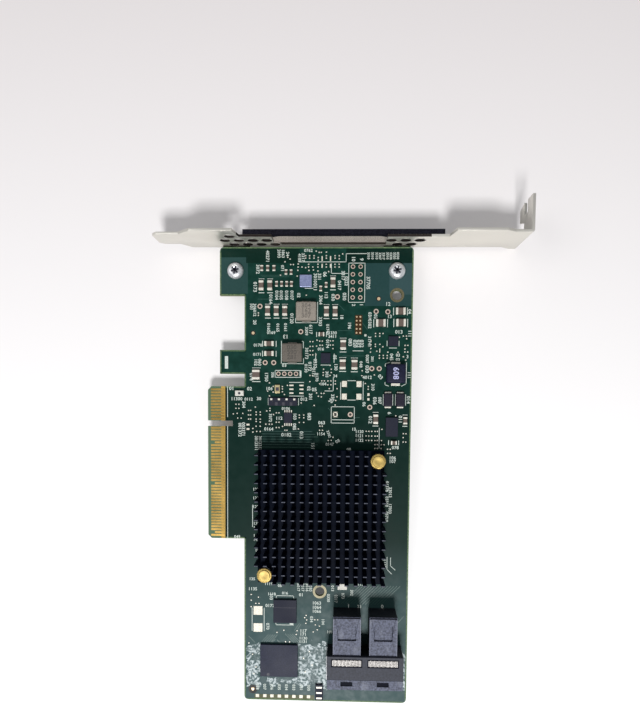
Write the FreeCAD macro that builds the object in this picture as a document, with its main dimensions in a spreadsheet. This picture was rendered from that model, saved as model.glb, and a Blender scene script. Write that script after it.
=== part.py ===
"""Storage host bus adapter card with its full-height bracket and pin-fin heatsink, in millimetres.

X runs from the finger edge of the card into the board, Y towards the bracket, and Z up from the
component side. The origin is the middle of the key notch on the finger edge, at half board thickness.
"""
import FreeCAD
import Part
import math
import os
import re
import Sketcher

from FreeCAD import Vector

SIZES = {
    # Circuit board, places along it counted from its bracket edge
    "board_length": 155.65,
    "board_width": 68.9,
    "board_thickness": 1.57,
    "key_place": 59.05,
    "key_width": 1.9,
    "key_depth": 8.5,
    "body_edge": 12.5,
    "shoulder_edge": 4.15,
    "shoulder_end": 16.0,
    "hook_start": 34.2,
    "hook_end": 42.2,
    "finger_start": 46.45,
    "finger_end": 98.65,
    "finger_corner": 1.2,
    "board_corner_radius": 1.5,
    # Edge contacts
    "contact_pitch": 1.0,
    "contact_width": 0.7,
    "contact_front": 1.0,
    "short_contact_front": 2.3,
    "contact_back": 5.65,
    "contact_thickness": 0.05,
    "contact_margin": 1.1,
    # Holes in the board
    "header_hole": 0.9,
    "header_pitch": 2.54,
    "header_x": 48.8,
    "header_place": 6.45,
    "light_header_pitch": 2.0,
    "light_header_x": 24.0,
    "light_header_place": 42.1,
    "jumper_pitch": 5.05,
    "jumper_x": 43.4,
    "jumper_place": 55.7,
    "spare_hole": 3.2,
    "bracket_spare_hole_x": 63.6,
    "bracket_spare_hole_place": 15.8,
    "middle_spare_hole_x": 38.6,
    "middle_spare_hole_place": 116.8,
    # Bracket sheet, heights counted from the component side
    "sheet_thickness": 0.86,
    "bracket_gap": 0.95,
    "bracket_low": -3.83,
    "bracket_high": 14.6,
    "tongue_tip": -15.7,
    "tongue_root": -7.0,
    "tongue_low": 0.3,
    "tongue_high": 11.0,
    "tongue_chamfer": 1.6,
    "face_start": -2.8,
    "low_step_start": -8.8,
    "low_step_end": -5.9,
    "recess_start": 11.9,
    "recess_end": 79.2,
    "recess_level": 8.0,
    "deep_start": 22.4,
    "deep_end": 59.6,
    "deep_level": -0.9,
    "recess_slant": 1.2,
    "dip_start": 95.8,
    "dip_end": 98.6,
    "dip_level": 12.9,
    "flare_start": 98.6,
    "flare_end": 101.6,
    "flare_low": -6.0,
    "bend_face": 104.3,
    "bend_radius": 0.8,
    "flange_reach": 12.6,
    "flange_neck_low": 4.5,
    "flange_lobe_low": 0.0,
    "flange_neck_end": 6.1,
    "flange_lobe_start": 7.4,
    "flange_lobe_end": 11.4,
    "screw_notch_width": 3.4,
    "screw_notch_height": 6.1,
    "screw_notch_depth": 4.0,
    # Vent holes of the bracket
    "vent_width": 3.7,
    "vent_pitch": 4.6,
    "vent_row_pitch": 4.45,
    "vent_first_x": 6.7,
    "vent_second_x": 61.1,
    "vent_height": 4.2,
    # Bracket ears and screws
    "screw_x": 9.45,
    "second_screw_x": 63.45,
    "screw_place": 7.9,
    "ear_width": 9.0,
    "ear_reach": 12.4,
    "ear_corner": 2.4,
    "screw_clearance_hole": 3.3,
    "screw_diameter": 2.9,
    "thread_allowance": 0.04,
    "screw_head_diameter": 5.5,
    "screw_head_height": 1.7,
    "screw_length": 4.0,
    "recess_blade": 0.8,
    "recess_span": 3.0,
    "recess_depth": 0.9,
    # Conductive gasket
    "gasket_start": 13.0,
    "gasket_end": 77.8,
    "gasket_depth": 1.7,
    "gasket_high": 7.7,
    "gasket_low": -2.4,
    "backing_start": 21.5,
    "backing_end": 60.5,
    "backing_high": 5.7,
    "backing_low": -2.0,
    "backing_thickness": 0.5,
    "backing_slant": 1.5,
    # Controller package and heatsink
    "sink_x": 38.8,
    "sink_place": 90.1,
    "substrate_side": 27.0,
    "substrate_height": 1.2,
    "lid_side": 22.0,
    "lid_height": 1.1,
    "pad_height": 0.2,
    "sink_width": 42.1,
    "sink_length": 45.0,
    "sink_base": 2.0,
    "pin_height": 7.0,
    "pin_columns": 15,
    "pin_rows": 15,
    "pin_column_pitch": 2.96,
    "pin_row_pitch": 3.01,
    "pin_length": 1.35,
    "pin_root": 0.9,
    "pin_tip": 0.52,
    "missing_pins": 2,
    # Push pins and their springs
    "push_pin_x": 57.6,
    "push_pin_place": 70.9,
    "push_pin_offset": 0.4,
    "push_pin_head": 5.0,
    "push_pin_rim": 0.5,
    "push_pin_crown": 0.7,
    "push_pin_crown_top": 1.6,
    "push_pin_shank": 2.4,
    "push_pin_hole": 2.8,
    "push_pin_barb": 3.3,
    "push_pin_barb_height": 1.1,
    "push_pin_tip": 1.8,
    "spring_diameter": 4.2,
    "spring_wire": 0.5,
    "spring_height": 2.7,
    "spring_turns": 2.0,
    "spring_steps": 12,
    "spring_gap": 0.03,
    # Cable connector
    "port_block_x": 41.5,
    "port_block_width": 25.2,
    "port_block_margin": 8.75,
    "port_block_length": 11.7,
    "port_step_length": 3.6,
    "port_step_drop": 0.6,
    "port_height": 10.0,
    "lobe_x": 43.4,
    "lobe_width": 9.2,
    "lobe_pitch": 12.0,
    "lobe_length": 13.0,
    "lobe_height": 9.4,
    "lobe_recess_width": 6.0,
    "lobe_recess_length": 5.0,
    "lobe_recess_depth": 0.7,
    "lobe_recess_margin": 3.0,
    "mouth_width": 8.0,
    "mouth_height": 6.6,
    "mouth_floor": 1.5,
    "mouth_depth": 18.0,
    "port_window_length": 2.5,
    "port_window_margin": 10.5,
    "latch_slot_width": 3.9,
    "latch_slot_length": 1.4,
    "latch_slot_margin": 2.7,
    "port_contact_count": 7,
    "port_contact_pitch": 1.05,
    "port_contact_width": 0.45,
    "port_contact_thickness": 0.3,
    "port_contact_reach": 8.5,
    "port_contact_low": 2.3,
    "port_contact_high": 7.2,
    "clip_thickness": 0.35,
    "clip_length": 8.0,
    "clip_height": 5.0,
    "clip_margin": 9.4,
    # Inductors
    "coil_height": 3.0,
    "coil_corner": 0.8,
    "coil_terminal_length": 0.45,
    "coil_terminal_width": 3.0,
    "coil_terminal_height": 1.2,
    "core_height": 3.0,
    "core_terminal_height": 0.5,
    # Capacitors, chips and packages
    "ceramic_height": 1.3,
    "chip_height": 0.5,
    "polymer_width": 2.9,
    "polymer_length": 4.4,
    "polymer_height": 1.9,
    "polymer_terminal_length": 0.5,
    "polymer_terminal_width": 2.2,
    "polymer_terminal_height": 1.0,
    "clock_height": 0.9,
    "regulator_height": 0.9,
    "package_height": 1.0,
    "flash_height": 1.2,
    "flash_margin": 14.5,
    "buffer_margin": 31.9,
    "transistor_margin": 3.45,
    "serial_x": 27.4,
    "serial_place": 57.05,
    "serial_width": 2.8,
    "serial_length": 3.5,
    "serial_pin_pitch": 0.74,
    "serial_pin_width": 0.35,
    "serial_pin_length": 0.9,
    "serial_pin_height": 0.4,
    "lamp_height": 0.9,
    "network_height": 0.8,
    "solder_side_chip_pitch": 3.0,
    "solder_side_chip_width": 1.0,
    "solder_side_chip_length": 0.5,
}

document = FreeCAD.newDocument("host_bus_adapter")
sheet = document.addObject("Spreadsheet::Sheet", "Sizes")
for row, (alias, value) in enumerate(SIZES.items(), start=1):
    sheet.set("A%d" % row, alias.replace("_", " "))
    sheet.set("B%d" % row, str(value))
    sheet.setAlias("B%d" % row, alias)
document.recompute()

WORD = re.compile(r"[a-z][a-z_]*")


def formula(text):
    """A formula of size names, as an expression on the sheet."""
    return WORD.sub(lambda word: "Sizes." + word.group() if word.group() in SIZES else word.group(), str(text))


def number(text):
    """The value of a formula of size names."""
    return float(sheet.evalExpression(str(text)))


def place(text):
    """The Y formula of a place counted from the board's bracket edge."""
    return "key_place - (%s)" % text


def level(text):
    """The Z formula of a height above the component side."""
    return "board_thickness / 2 + (%s)" % text


def bind(piece, **formulas):
    """Bind the sizes of a piece to formulas on the sheet."""
    for name, text in formulas.items():
        piece.setExpression(name, formula(text))


def put(piece, low):
    """Bind the place of a piece to three formulas."""
    for axis, text in zip("xyz", low):
        piece.setExpression("Placement.Base." + axis, formula(text))


def block(name, size, low):
    """A rectangular block from its three lengths and its lowest corner."""
    box = document.addObject("Part::Box", name)
    bind(box, Length=size[0], Width=size[1], Height=size[2])
    put(box, low)
    return box


def block_at(name, size, middle, bottom):
    """A rectangular block centred on a place in the board's plane, standing on a height."""
    low = ("%s - (%s) / 2" % (middle[0], size[0]), "%s - (%s) / 2" % (place(middle[1]), size[1]), level(bottom))
    return block(name, size, low)


def cylinder(name, radius, height, low):
    """An upright cylinder from the middle of its lower end."""
    rod = document.addObject("Part::Cylinder", name)
    bind(rod, Radius=radius, Height=height)
    put(rod, low)
    return rod


def cone(name, low_radius, high_radius, height, low):
    """An upright cone frustum from the middle of its lower end."""
    taper = document.addObject("Part::Cone", name)
    bind(taper, Radius1=low_radius, Radius2=high_radius, Height=height)
    put(taper, low)
    return taper


def fused(name, pieces):
    """One solid from pieces that join."""
    union = document.addObject("Part::MultiFuse", name)
    union.Shapes = pieces
    union.Refine = True
    return union


def cut(name, base, tool):
    """A piece with another's space taken out."""
    difference = document.addObject("Part::Cut", name)
    difference.Base = base
    difference.Tool = tool
    return difference


def chamfered(name, piece, depth, chooses):
    """A piece with the chosen edges cut off at 45 degrees."""
    document.recompute()
    edges = [index + 1 for index, edge in enumerate(piece.Shape.Edges) if chooses(edge)]
    chamfer = document.addObject("Part::Chamfer", name)
    chamfer.Base = piece
    chamfer.Edges = [(index, number(depth), number(depth)) for index in edges]
    return chamfer


def upright(edge):
    """Whether an edge runs along Z."""
    ends = [vertex.Point for vertex in edge.Vertexes]
    return len(ends) == 2 and (ends[1] - ends[0]).cross(Vector(0, 0, 1)).Length < 1e-6


def group(name, pieces):
    """Separate solids that share one node."""
    compound = document.addObject("Part::Compound", name)
    compound.Links = pieces
    return named(name, compound)


NODES = []


def named(name, piece):
    """Give a finished sub-part its name."""
    piece.Label = name
    NODES.append(piece)
    return piece


def new_body(name):
    """An empty PartDesign body."""
    return document.addObject("PartDesign::Body", name + "_body")


def origin_part(body, role):
    """An origin plane or axis of a body."""
    return next(part for part in body.Origin.OriginFeatures if part.Role == role)


def sketch_on(body, name, role, offset="0"):
    """A sketch on an origin plane of a body, moved along the plane's normal."""
    sketch = body.newObject("Sketcher::SketchObject", name)
    sketch.AttachmentSupport = [(origin_part(body, role), "")]
    sketch.MapMode = "FlatFace"
    sketch.setExpression("AttachmentOffset.Base.z", formula(offset))
    return sketch


def hold(sketch, constraints, texts):
    """Add constraints whose values are bound to formulas, one formula each."""
    first = sketch.ConstraintCount
    sketch.addConstraint(constraints)
    for index, text in enumerate(texts, start=first):
        sketch.setExpression("Constraints[%d]" % index, formula(text))


def held_at(geometry, end, across, along):
    """The two constraints that hold one point of a sketch at two formulas."""
    return [
        Sketcher.Constraint("DistanceX", -1, 1, geometry, end, number(across)),
        Sketcher.Constraint("DistanceY", -1, 1, geometry, end, number(along)),
    ]


def polygon(sketch, corners):
    """A closed outline of straight lines through corners given by formulas."""
    points = [Vector(number(across), number(along), 0) for across, along in corners]
    first = sketch.GeometryCount
    count = len(points)
    sides = [Part.LineSegment(points[index], points[(index + 1) % count]) for index in range(count)]
    sketch.addGeometry(sides, False)
    joins = []
    for index in range(count):
        follower = first + (index + 1) % count
        joins.append(Sketcher.Constraint("Coincident", first + index, 2, follower, 1))
    sketch.addConstraint(joins)
    constraints = []
    texts = []
    for index, (across, along) in enumerate(corners):
        constraints += held_at(first + index, 1, across, along)
        texts += [across, along]
    hold(sketch, constraints, texts)


def rectangle(sketch, low, high):
    """An upright rectangle between two corners given by formulas."""
    polygon(sketch, [low, (high[0], low[1]), high, (low[0], high[1])])


def regular(sketch, across, along, width, sides):
    """A regular outline of an even number of sides, from its width over two flats."""
    corners = []
    for step in range(sides):
        angle = math.pi * (2 * step + 1) / sides + math.pi / 2
        reach = 0.5 / math.cos(math.pi / sides)
        corners.append((
            "%s + %.6f * %s" % (across, reach * math.cos(angle), width),
            "%s + %.6f * %s" % (along, reach * math.sin(angle), width),
        ))
    polygon(sketch, corners)


def circle(sketch, across, along, diameter):
    """A circle given by formulas."""
    centre = Vector(number(across), number(along), 0)
    index = sketch.addGeometry(Part.Circle(centre, Vector(0, 0, 1), number(diameter) / 2), False)
    constraints = held_at(index, 3, across, along)
    constraints.append(Sketcher.Constraint("Radius", index, number(diameter) / 2))
    hold(sketch, constraints, [across, along, "(%s) / 2" % diameter])


def pad(body, sketch, length, backwards=False):
    """Raise a sketch into a solid."""
    feature = body.newObject("PartDesign::Pad", sketch.Name + "_pad")
    feature.Profile = sketch
    feature.Reversed = backwards
    bind(feature, Length=length)
    return feature


def pocket(body, sketch, length=None, backwards=False):
    """Cut a sketch out of a solid, right through both ways where no length is given."""
    feature = body.newObject("PartDesign::Pocket", sketch.Name + "_pocket")
    feature.Profile = sketch
    feature.Reversed = backwards
    if length is None:
        feature.Type = "ThroughAll"
        feature.SideType = "Symmetric"
    else:
        bind(feature, Length=length)
    return feature


def row_of(body, feature, role, pitch, count):
    """Repeat a feature in a line along an origin axis."""
    pattern = body.newObject("PartDesign::LinearPattern", feature.Name + "_row")
    pattern.Originals = [feature]
    pattern.Direction = (origin_part(body, role), [""])
    bind(pattern, Length="(%s) * (%s - 1)" % (pitch, count), Occurrences=count)
    body.Tip = pattern
    return pattern


def round_edges(body, name, radius, chooses):
    """Round the chosen edges of a body."""
    document.recompute()
    base = body.Tip
    edges = ["Edge%d" % (index + 1) for index, edge in enumerate(base.Shape.Edges) if chooses(edge)]
    fillet = body.newObject("PartDesign::Fillet", name)
    fillet.Base = (base, edges)
    bind(fillet, Radius=radius)
    body.Tip = fillet
    return fillet


def near(edge, across, along):
    """Whether an upright edge stands at a place in the board's plane."""
    if not upright(edge):
        return False
    point = edge.Vertexes[0].Point
    return abs(point.x - number(across)) < 0.01 and abs(point.y - number(along)) < 0.01


BRACKET_SCREWS = [("screw_x", "screw_place"), ("second_screw_x", "screw_place")]
PUSH_PINS = [
    ("push_pin_x", "push_pin_place"),
    ("2 * sink_x - push_pin_x + push_pin_offset", "2 * sink_place - push_pin_place"),
]


# Circuit board
def header_holes():
    """The X formula and the place of each small hole for a header's pins."""
    holes = []
    for column in range(2):
        for step in range(5):
            across = "header_x + %d * header_pitch" % column
            holes.append((across, "header_place + %d * header_pitch" % step))
    for step in range(4):
        holes.append(("light_header_x + %d * light_header_pitch" % step, "light_header_place"))
    for step in range(2):
        holes.append(("jumper_x + %d * jumper_pitch" % step, "jumper_place"))
    return holes


def board_holes():
    """Each round hole of the board: its X formula, its place and its diameter."""
    holes = []
    holes.append(("bracket_spare_hole_x", "bracket_spare_hole_place", "spare_hole"))
    holes.append(("middle_spare_hole_x", "middle_spare_hole_place", "spare_hole"))
    for across, along in BRACKET_SCREWS:
        holes.append((across, along, "screw_clearance_hole"))
    for across, along in PUSH_PINS:
        holes.append((across, along, "push_pin_hole"))
    return holes


def circuit_board():
    """The board: its notched outline, padded to its thickness, with its holes."""
    body = new_body("circuit_board")
    outline = sketch_on(body, "board_outline", "XY_Plane", "-board_thickness / 2")
    key_low = "key_place - key_width / 2"
    key_high = "key_place + key_width / 2"
    corners = [
        ("board_width", place("board_length")),
        ("board_width", place("0")),
        ("shoulder_edge", place("0")),
        ("shoulder_edge", place("shoulder_end")),
        ("body_edge", place("shoulder_end")),
        ("body_edge", place("hook_start")),
        ("shoulder_edge", place("hook_start")),
        ("shoulder_edge", place("hook_end")),
        ("body_edge", place("hook_end")),
        ("body_edge", place("finger_start")),
        ("finger_corner", place("finger_start")),
        ("0", place("finger_start + finger_corner")),
        ("0", place(key_low)),
        ("key_depth", place(key_low)),
        ("key_depth", place(key_high)),
        ("0", place(key_high)),
        ("0", place("finger_end - finger_corner")),
        ("finger_corner", place("finger_end")),
        ("body_edge", place("finger_end")),
        ("body_edge", place("board_length")),
    ]
    polygon(outline, corners)
    pad(body, outline, "board_thickness")
    holes = sketch_on(body, "board_holes", "XY_Plane")
    for across, along, diameter in board_holes():
        circle(holes, across, place(along), diameter)
    pocket(body, holes)
    pin_holes = sketch_on(body, "header_holes", "XY_Plane")
    for across, along in header_holes():
        regular(pin_holes, across, place(along), "header_hole", 8)
    pocket(body, pin_holes)
    corner_places = [
        ("board_width", place("board_length")),
        ("board_width", place("0")),
        ("shoulder_edge", place("0")),
        ("body_edge", place("board_length")),
    ]
    round_edges(body, "board_corners", "board_corner_radius",
                lambda edge: any(near(edge, across, along) for across, along in corner_places))
    named("circuit_board", body)


# Edge contacts
SHORT_CONTACTS = (17, 31, 48)


def contact_places():
    """The place along the board of each edge contact."""
    places = ["finger_start + contact_margin + %d * contact_pitch" % step for step in range(11)]
    places += ["finger_end - contact_margin - %d * contact_pitch" % step for step in reversed(range(38))]
    return places


def edge_contacts(name, bottom):
    """One side's row of gold contacts."""
    contacts = []
    for index, along in enumerate(contact_places(), start=1):
        front = "short_contact_front" if index in SHORT_CONTACTS else "contact_front"
        size = ("contact_back - %s" % front, "contact_width", "contact_thickness")
        low = (front, "%s - contact_width / 2" % place(along), bottom)
        contacts.append(block("%s_%d" % (name, index), size, low))
    group(name, contacts)


# Mounting bracket
def bracket_outline():
    """The corners of the bracket's face, X and height above the component side."""
    return [
        ("tongue_tip", "tongue_low + tongue_chamfer"),
        ("tongue_tip", "tongue_high - tongue_chamfer"),
        ("tongue_tip + tongue_chamfer", "tongue_high"),
        ("tongue_root", "tongue_high"),
        ("face_start", "bracket_high"),
        ("recess_start - recess_slant", "bracket_high"),
        ("recess_start", "recess_level"),
        ("deep_start", "recess_level"),
        ("deep_start", "deep_level"),
        ("deep_end", "deep_level"),
        ("deep_end", "recess_level"),
        ("recess_end", "recess_level"),
        ("recess_end + recess_slant", "bracket_high"),
        ("dip_start", "bracket_high"),
        ("dip_end", "dip_level"),
        ("bend_face", "dip_level"),
        ("bend_face", "flare_low"),
        ("flare_end", "flare_low"),
        ("flare_start", "bracket_low"),
        ("low_step_end", "bracket_low"),
        ("low_step_start", "tongue_low"),
        ("tongue_tip + tongue_chamfer", "tongue_low"),
    ]


def vent_places():
    """The X and height of each vent hole."""
    places = []
    for step in range(4):
        places.append(("vent_first_x + %d * vent_pitch" % step, "vent_height"))
        places.append(("vent_first_x + %s * vent_pitch" % (step + 0.5), "vent_height - vent_row_pitch"))
    places.append(("vent_first_x + 0.5 * vent_pitch", "vent_height + vent_row_pitch"))
    for step in range(3):
        places.append(("vent_second_x + %d * vent_pitch" % step, "vent_height"))
    for step in range(2):
        places.append(("vent_second_x + %s * vent_pitch" % (step + 0.5), "vent_height - vent_row_pitch"))
    return places


def mounting_bracket():
    """The bracket: one sheet with its face, its folded flange and its two ears under the board."""
    body = new_body("mounting_bracket")
    face = sketch_on(body, "bracket_face", "XZ_Plane", "-(key_place + bracket_gap + sheet_thickness)")
    polygon(face, [(across, level(height)) for across, height in bracket_outline()])
    pad(body, face, "sheet_thickness")
    flange = sketch_on(body, "bracket_flange", "YZ_Plane", "bend_face - sheet_thickness")
    face_back = "key_place + bracket_gap"
    reach = "key_place + flange_reach"
    notch_low = level("screw_notch_height - screw_notch_width / 2")
    notch_high = level("screw_notch_height + screw_notch_width / 2")
    notch_end = "key_place + flange_reach - screw_notch_depth"
    lobe = [
        (face_back, level("dip_level")),
        (face_back, level("flange_neck_low")),
        ("key_place + flange_neck_end", level("flange_neck_low")),
        ("key_place + flange_lobe_start", level("flange_lobe_low")),
        ("key_place + flange_lobe_end", level("flange_lobe_low")),
        (reach, notch_low),
        (notch_end, notch_low),
        (notch_end, notch_high),
        (reach, notch_high),
        (reach, level("dip_level")),
    ]
    polygon(flange, lobe)
    pad(body, flange, "sheet_thickness")
    ears = sketch_on(body, "bracket_ears", "XY_Plane", "-board_thickness / 2 - sheet_thickness")
    root = "key_place + bracket_gap + sheet_thickness / 2"
    end = place("ear_reach")
    for across, along in BRACKET_SCREWS:
        left = "%s - ear_width / 2" % across
        right = "%s + ear_width / 2" % across
        polygon(ears, [
            (left, root),
            (left, "%s + ear_corner" % end),
            ("%s + ear_corner" % left, end),
            ("%s - ear_corner" % right, end),
            (right, "%s + ear_corner" % end),
            (right, root),
        ])
    pad(body, ears, "sheet_thickness")
    threads = sketch_on(body, "ear_threads", "XY_Plane", "-board_thickness / 2")
    for across, along in BRACKET_SCREWS:
        circle(threads, across, place(along), "screw_diameter + thread_allowance")
    pocket(body, threads, "2 * sheet_thickness")
    vents = sketch_on(body, "bracket_vents", "XZ_Plane")
    for across, height in vent_places():
        regular(vents, across, level(height), "vent_width", 6)
    pocket(body, vents)
    document.recompute()
    outer_x = number("bend_face")
    inner_y = number("key_place + bracket_gap")

    def outer_bend(edge):
        point = edge.Vertexes[0].Point
        return upright(edge) and abs(point.x - outer_x) < 0.01 and abs(point.y - inner_y) < 0.01

    round_edges(body, "bracket_bend", "bend_radius", outer_bend)
    named("mounting_bracket", body)


def bracket_screws():
    """Two pan-head screws with cross recesses, through the board into the ears."""
    screws = []
    for index, (across, along) in enumerate(BRACKET_SCREWS, start=1):
        head_low = (across, place(along), level("0"))
        shank_low = (across, place(along), level("-screw_length"))
        head = cylinder("screw_head_%d" % index, "screw_head_diameter / 2", "screw_head_height", head_low)
        shank = cylinder("screw_shank_%d" % index, "screw_diameter / 2", "screw_length", shank_low)
        whole = fused("screw_whole_%d" % index, [head, shank])
        top = "screw_head_height - recess_depth"
        slots = []
        for name, size in (("long", ("recess_span", "recess_blade")), ("cross", ("recess_blade", "recess_span"))):
            sizes = (size[0], size[1], "recess_depth")
            slots.append(block_at("screw_%s_slot_%d" % (name, index), sizes, (across, along), top))
        recess = fused("screw_recess_%d" % index, slots)
        screws.append(cut("screw_%d" % index, whole, recess))
    group("bracket_screws", screws)


# Conductive gasket on the bracket's outer face
def gasket():
    """The black strip, and the backing that shows through the deep recess."""
    outer = "key_place + bracket_gap + sheet_thickness"
    strip_size = ("gasket_end - gasket_start", "gasket_depth", "gasket_high - gasket_low")
    strip = block("gasket_strip", strip_size, ("gasket_start", outer, level("gasket_low")))
    body = new_body("gasket_backing")
    face = sketch_on(body, "backing_face", "XZ_Plane", "-(%s + backing_thickness)" % outer)
    corners = [
        ("backing_start", level("backing_low")),
        ("backing_start", level("backing_high - backing_slant")),
        ("backing_start + 2 * backing_slant", level("backing_high")),
        ("backing_end - 2 * backing_slant", level("backing_high")),
        ("backing_end", level("backing_high - backing_slant")),
        ("backing_end", level("backing_low")),
    ]
    polygon(face, corners)
    pad(body, face, "backing_thickness")
    room = new_body("gasket_room")
    hollow = sketch_on(room, "room_face", "XZ_Plane", "-(%s + backing_thickness)" % outer)
    polygon(hollow, corners)
    pad(room, hollow, "backing_thickness")
    named("gasket_backing", body)
    named("emi_gasket", cut("gasket_cut", strip, room))


# Controller package under the heatsink
def controller():
    """The package substrate, its lid and the thermal pad, stacked on the board."""
    middle = ("sink_x", "sink_place")
    side = ("substrate_side", "substrate_side", "substrate_height")
    named("controller_substrate", block_at("substrate", side, middle, "0"))
    lid_size = ("lid_side", "lid_side", "lid_height")
    named("controller_lid", block_at("lid", lid_size, middle, "substrate_height"))
    pad_size = ("lid_side", "lid_side", "pad_height")
    named("thermal_pad", block_at("pad", pad_size, middle, "substrate_height + lid_height"))


# Heatsink
SINK_LOW = "substrate_height + lid_height + pad_height"


def heatsink():
    """An extruded row of tapered fins, sawn across into pins, with two corners left bare."""
    body = new_body("heatsink")
    base = sketch_on(body, "sink_base_outline", "XY_Plane", level(SINK_LOW))
    sink_left = "sink_x - sink_width / 2"
    sink_right = "sink_x + sink_width / 2"
    sink_near = place("sink_place + sink_length / 2")
    sink_far = place("sink_place - sink_length / 2")
    rectangle(base, (sink_left, sink_near), (sink_right, sink_far))
    pad(body, base, "sink_base")
    fin = sketch_on(body, "fin_section", "YZ_Plane", sink_left)
    first_row = "%s - pin_row_pitch * (pin_rows - 1) / 2" % place("sink_place")
    floor = level(SINK_LOW + " + sink_base")
    corners = [
        ("%s - pin_root / 2" % first_row, floor),
        ("%s + pin_root / 2" % first_row, floor),
        ("%s + pin_tip / 2" % first_row, "%s + pin_height" % floor),
        ("%s - pin_tip / 2" % first_row, "%s + pin_height" % floor),
    ]
    polygon(fin, corners)
    fin_pad = pad(body, fin, "sink_width")
    row_of(body, fin_pad, "Y_Axis", "pin_row_pitch", "pin_rows")
    channel = sketch_on(body, "channel_section", "XZ_Plane")
    first_channel = "sink_x - pin_column_pitch * (pin_columns - 2) / 2"
    gap = "(pin_column_pitch - pin_length) / 2"
    rectangle(channel, ("%s - %s" % (first_channel, gap), floor),
              ("%s + %s" % (first_channel, gap), "%s + pin_height + 1" % floor))
    channel_cut = pocket(body, channel)
    row_of(body, channel_cut, "X_Axis", "pin_column_pitch", "pin_columns - 1")
    corner = sketch_on(body, "bare_corners", "XY_Plane", floor)
    bare_x = "pin_column_pitch * (pin_columns / 2 - missing_pins)"
    bare_y = "pin_row_pitch * (pin_rows / 2 - missing_pins)"
    rectangle(corner, ("sink_x + %s" % bare_x, "%s + %s" % (place("sink_place"), bare_y)),
              ("%s + 1" % sink_right, "%s + 1" % sink_far))
    rectangle(corner, ("%s - 1" % sink_left, "%s - 1" % sink_near),
              ("sink_x - %s" % bare_x, "%s - %s" % (place("sink_place"), bare_y)))
    pocket(body, corner, "pin_height + 1", backwards=True)
    holes = sketch_on(body, "sink_holes", "XY_Plane")
    for across, along in PUSH_PINS:
        circle(holes, across, place(along), "push_pin_hole")
    body.Tip = pocket(body, holes)
    named("heatsink", body)


# Push pins and springs
def push_pins():
    """Two push pins with rimmed conical heads, and barbs behind the board."""
    pins = []
    underside = "%s + sink_base + spring_height" % SINK_LOW
    for index, (across, along) in enumerate(PUSH_PINS, start=1):
        where = (across, place(along))
        shank = cylinder("pin_shank_%d" % index, "push_pin_shank / 2", "%s + board_thickness" % underside,
                         where + (level("-board_thickness"),))
        rim = cylinder("pin_rim_%d" % index, "push_pin_head / 2", "push_pin_rim", where + (level(underside),))
        crown_low = "%s + push_pin_rim" % underside
        crown = cone("pin_crown_%d" % index, "push_pin_head / 2", "push_pin_crown_top / 2",
                     "push_pin_crown", where + (level(crown_low),))
        barb = cone("pin_barb_%d" % index, "push_pin_tip / 2", "push_pin_barb / 2", "push_pin_barb_height",
                    where + (level("-board_thickness - push_pin_barb_height"),))
        pins.append(fused("push_pin_%d" % index, [shank, rim, crown, barb]))
    group("push_pins", pins)


def spring_shape():
    """A compression spring of square wire, its first turn's middle at the origin's height."""
    wire = number("spring_wire")
    radius = number("spring_diameter") / 2 - wire / 2
    rise = number("spring_height - 2 * spring_gap") - wire
    turns = number("spring_turns")
    count = round(turns * number("spring_steps"))
    path = []
    for step in range(count + 1):
        angle = 2 * math.pi * turns * step / count
        path.append(Vector(radius * math.cos(angle), radius * math.sin(angle), rise * step / count))
    corners = [Vector(radius + a * wire / 2, 0, b * wire / 2) for a, b in ((-1, -1), (1, -1), (1, 1), (-1, 1))]
    section = Part.makePolygon(corners + corners[:1])
    return Part.makePolygon(path).makePipeShell([section], True, False, 1)


def push_pin_springs():
    """The springs between the heatsink's base and the push pins' heads."""
    springs = []
    for index, (across, along) in enumerate(PUSH_PINS, start=1):
        spring = document.addObject("Part::Feature", "push_pin_spring_%d" % index)
        spring.Shape = spring_shape()
        put(spring, (across, place(along), level("%s + sink_base + spring_gap + spring_wire / 2" % SINK_LOW)))
        springs.append(spring)
    group("push_pin_springs", springs)


# Cable connector, its front counted from the board's far edge
PORT_FRONT = "board_length - port_block_margin"


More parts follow.
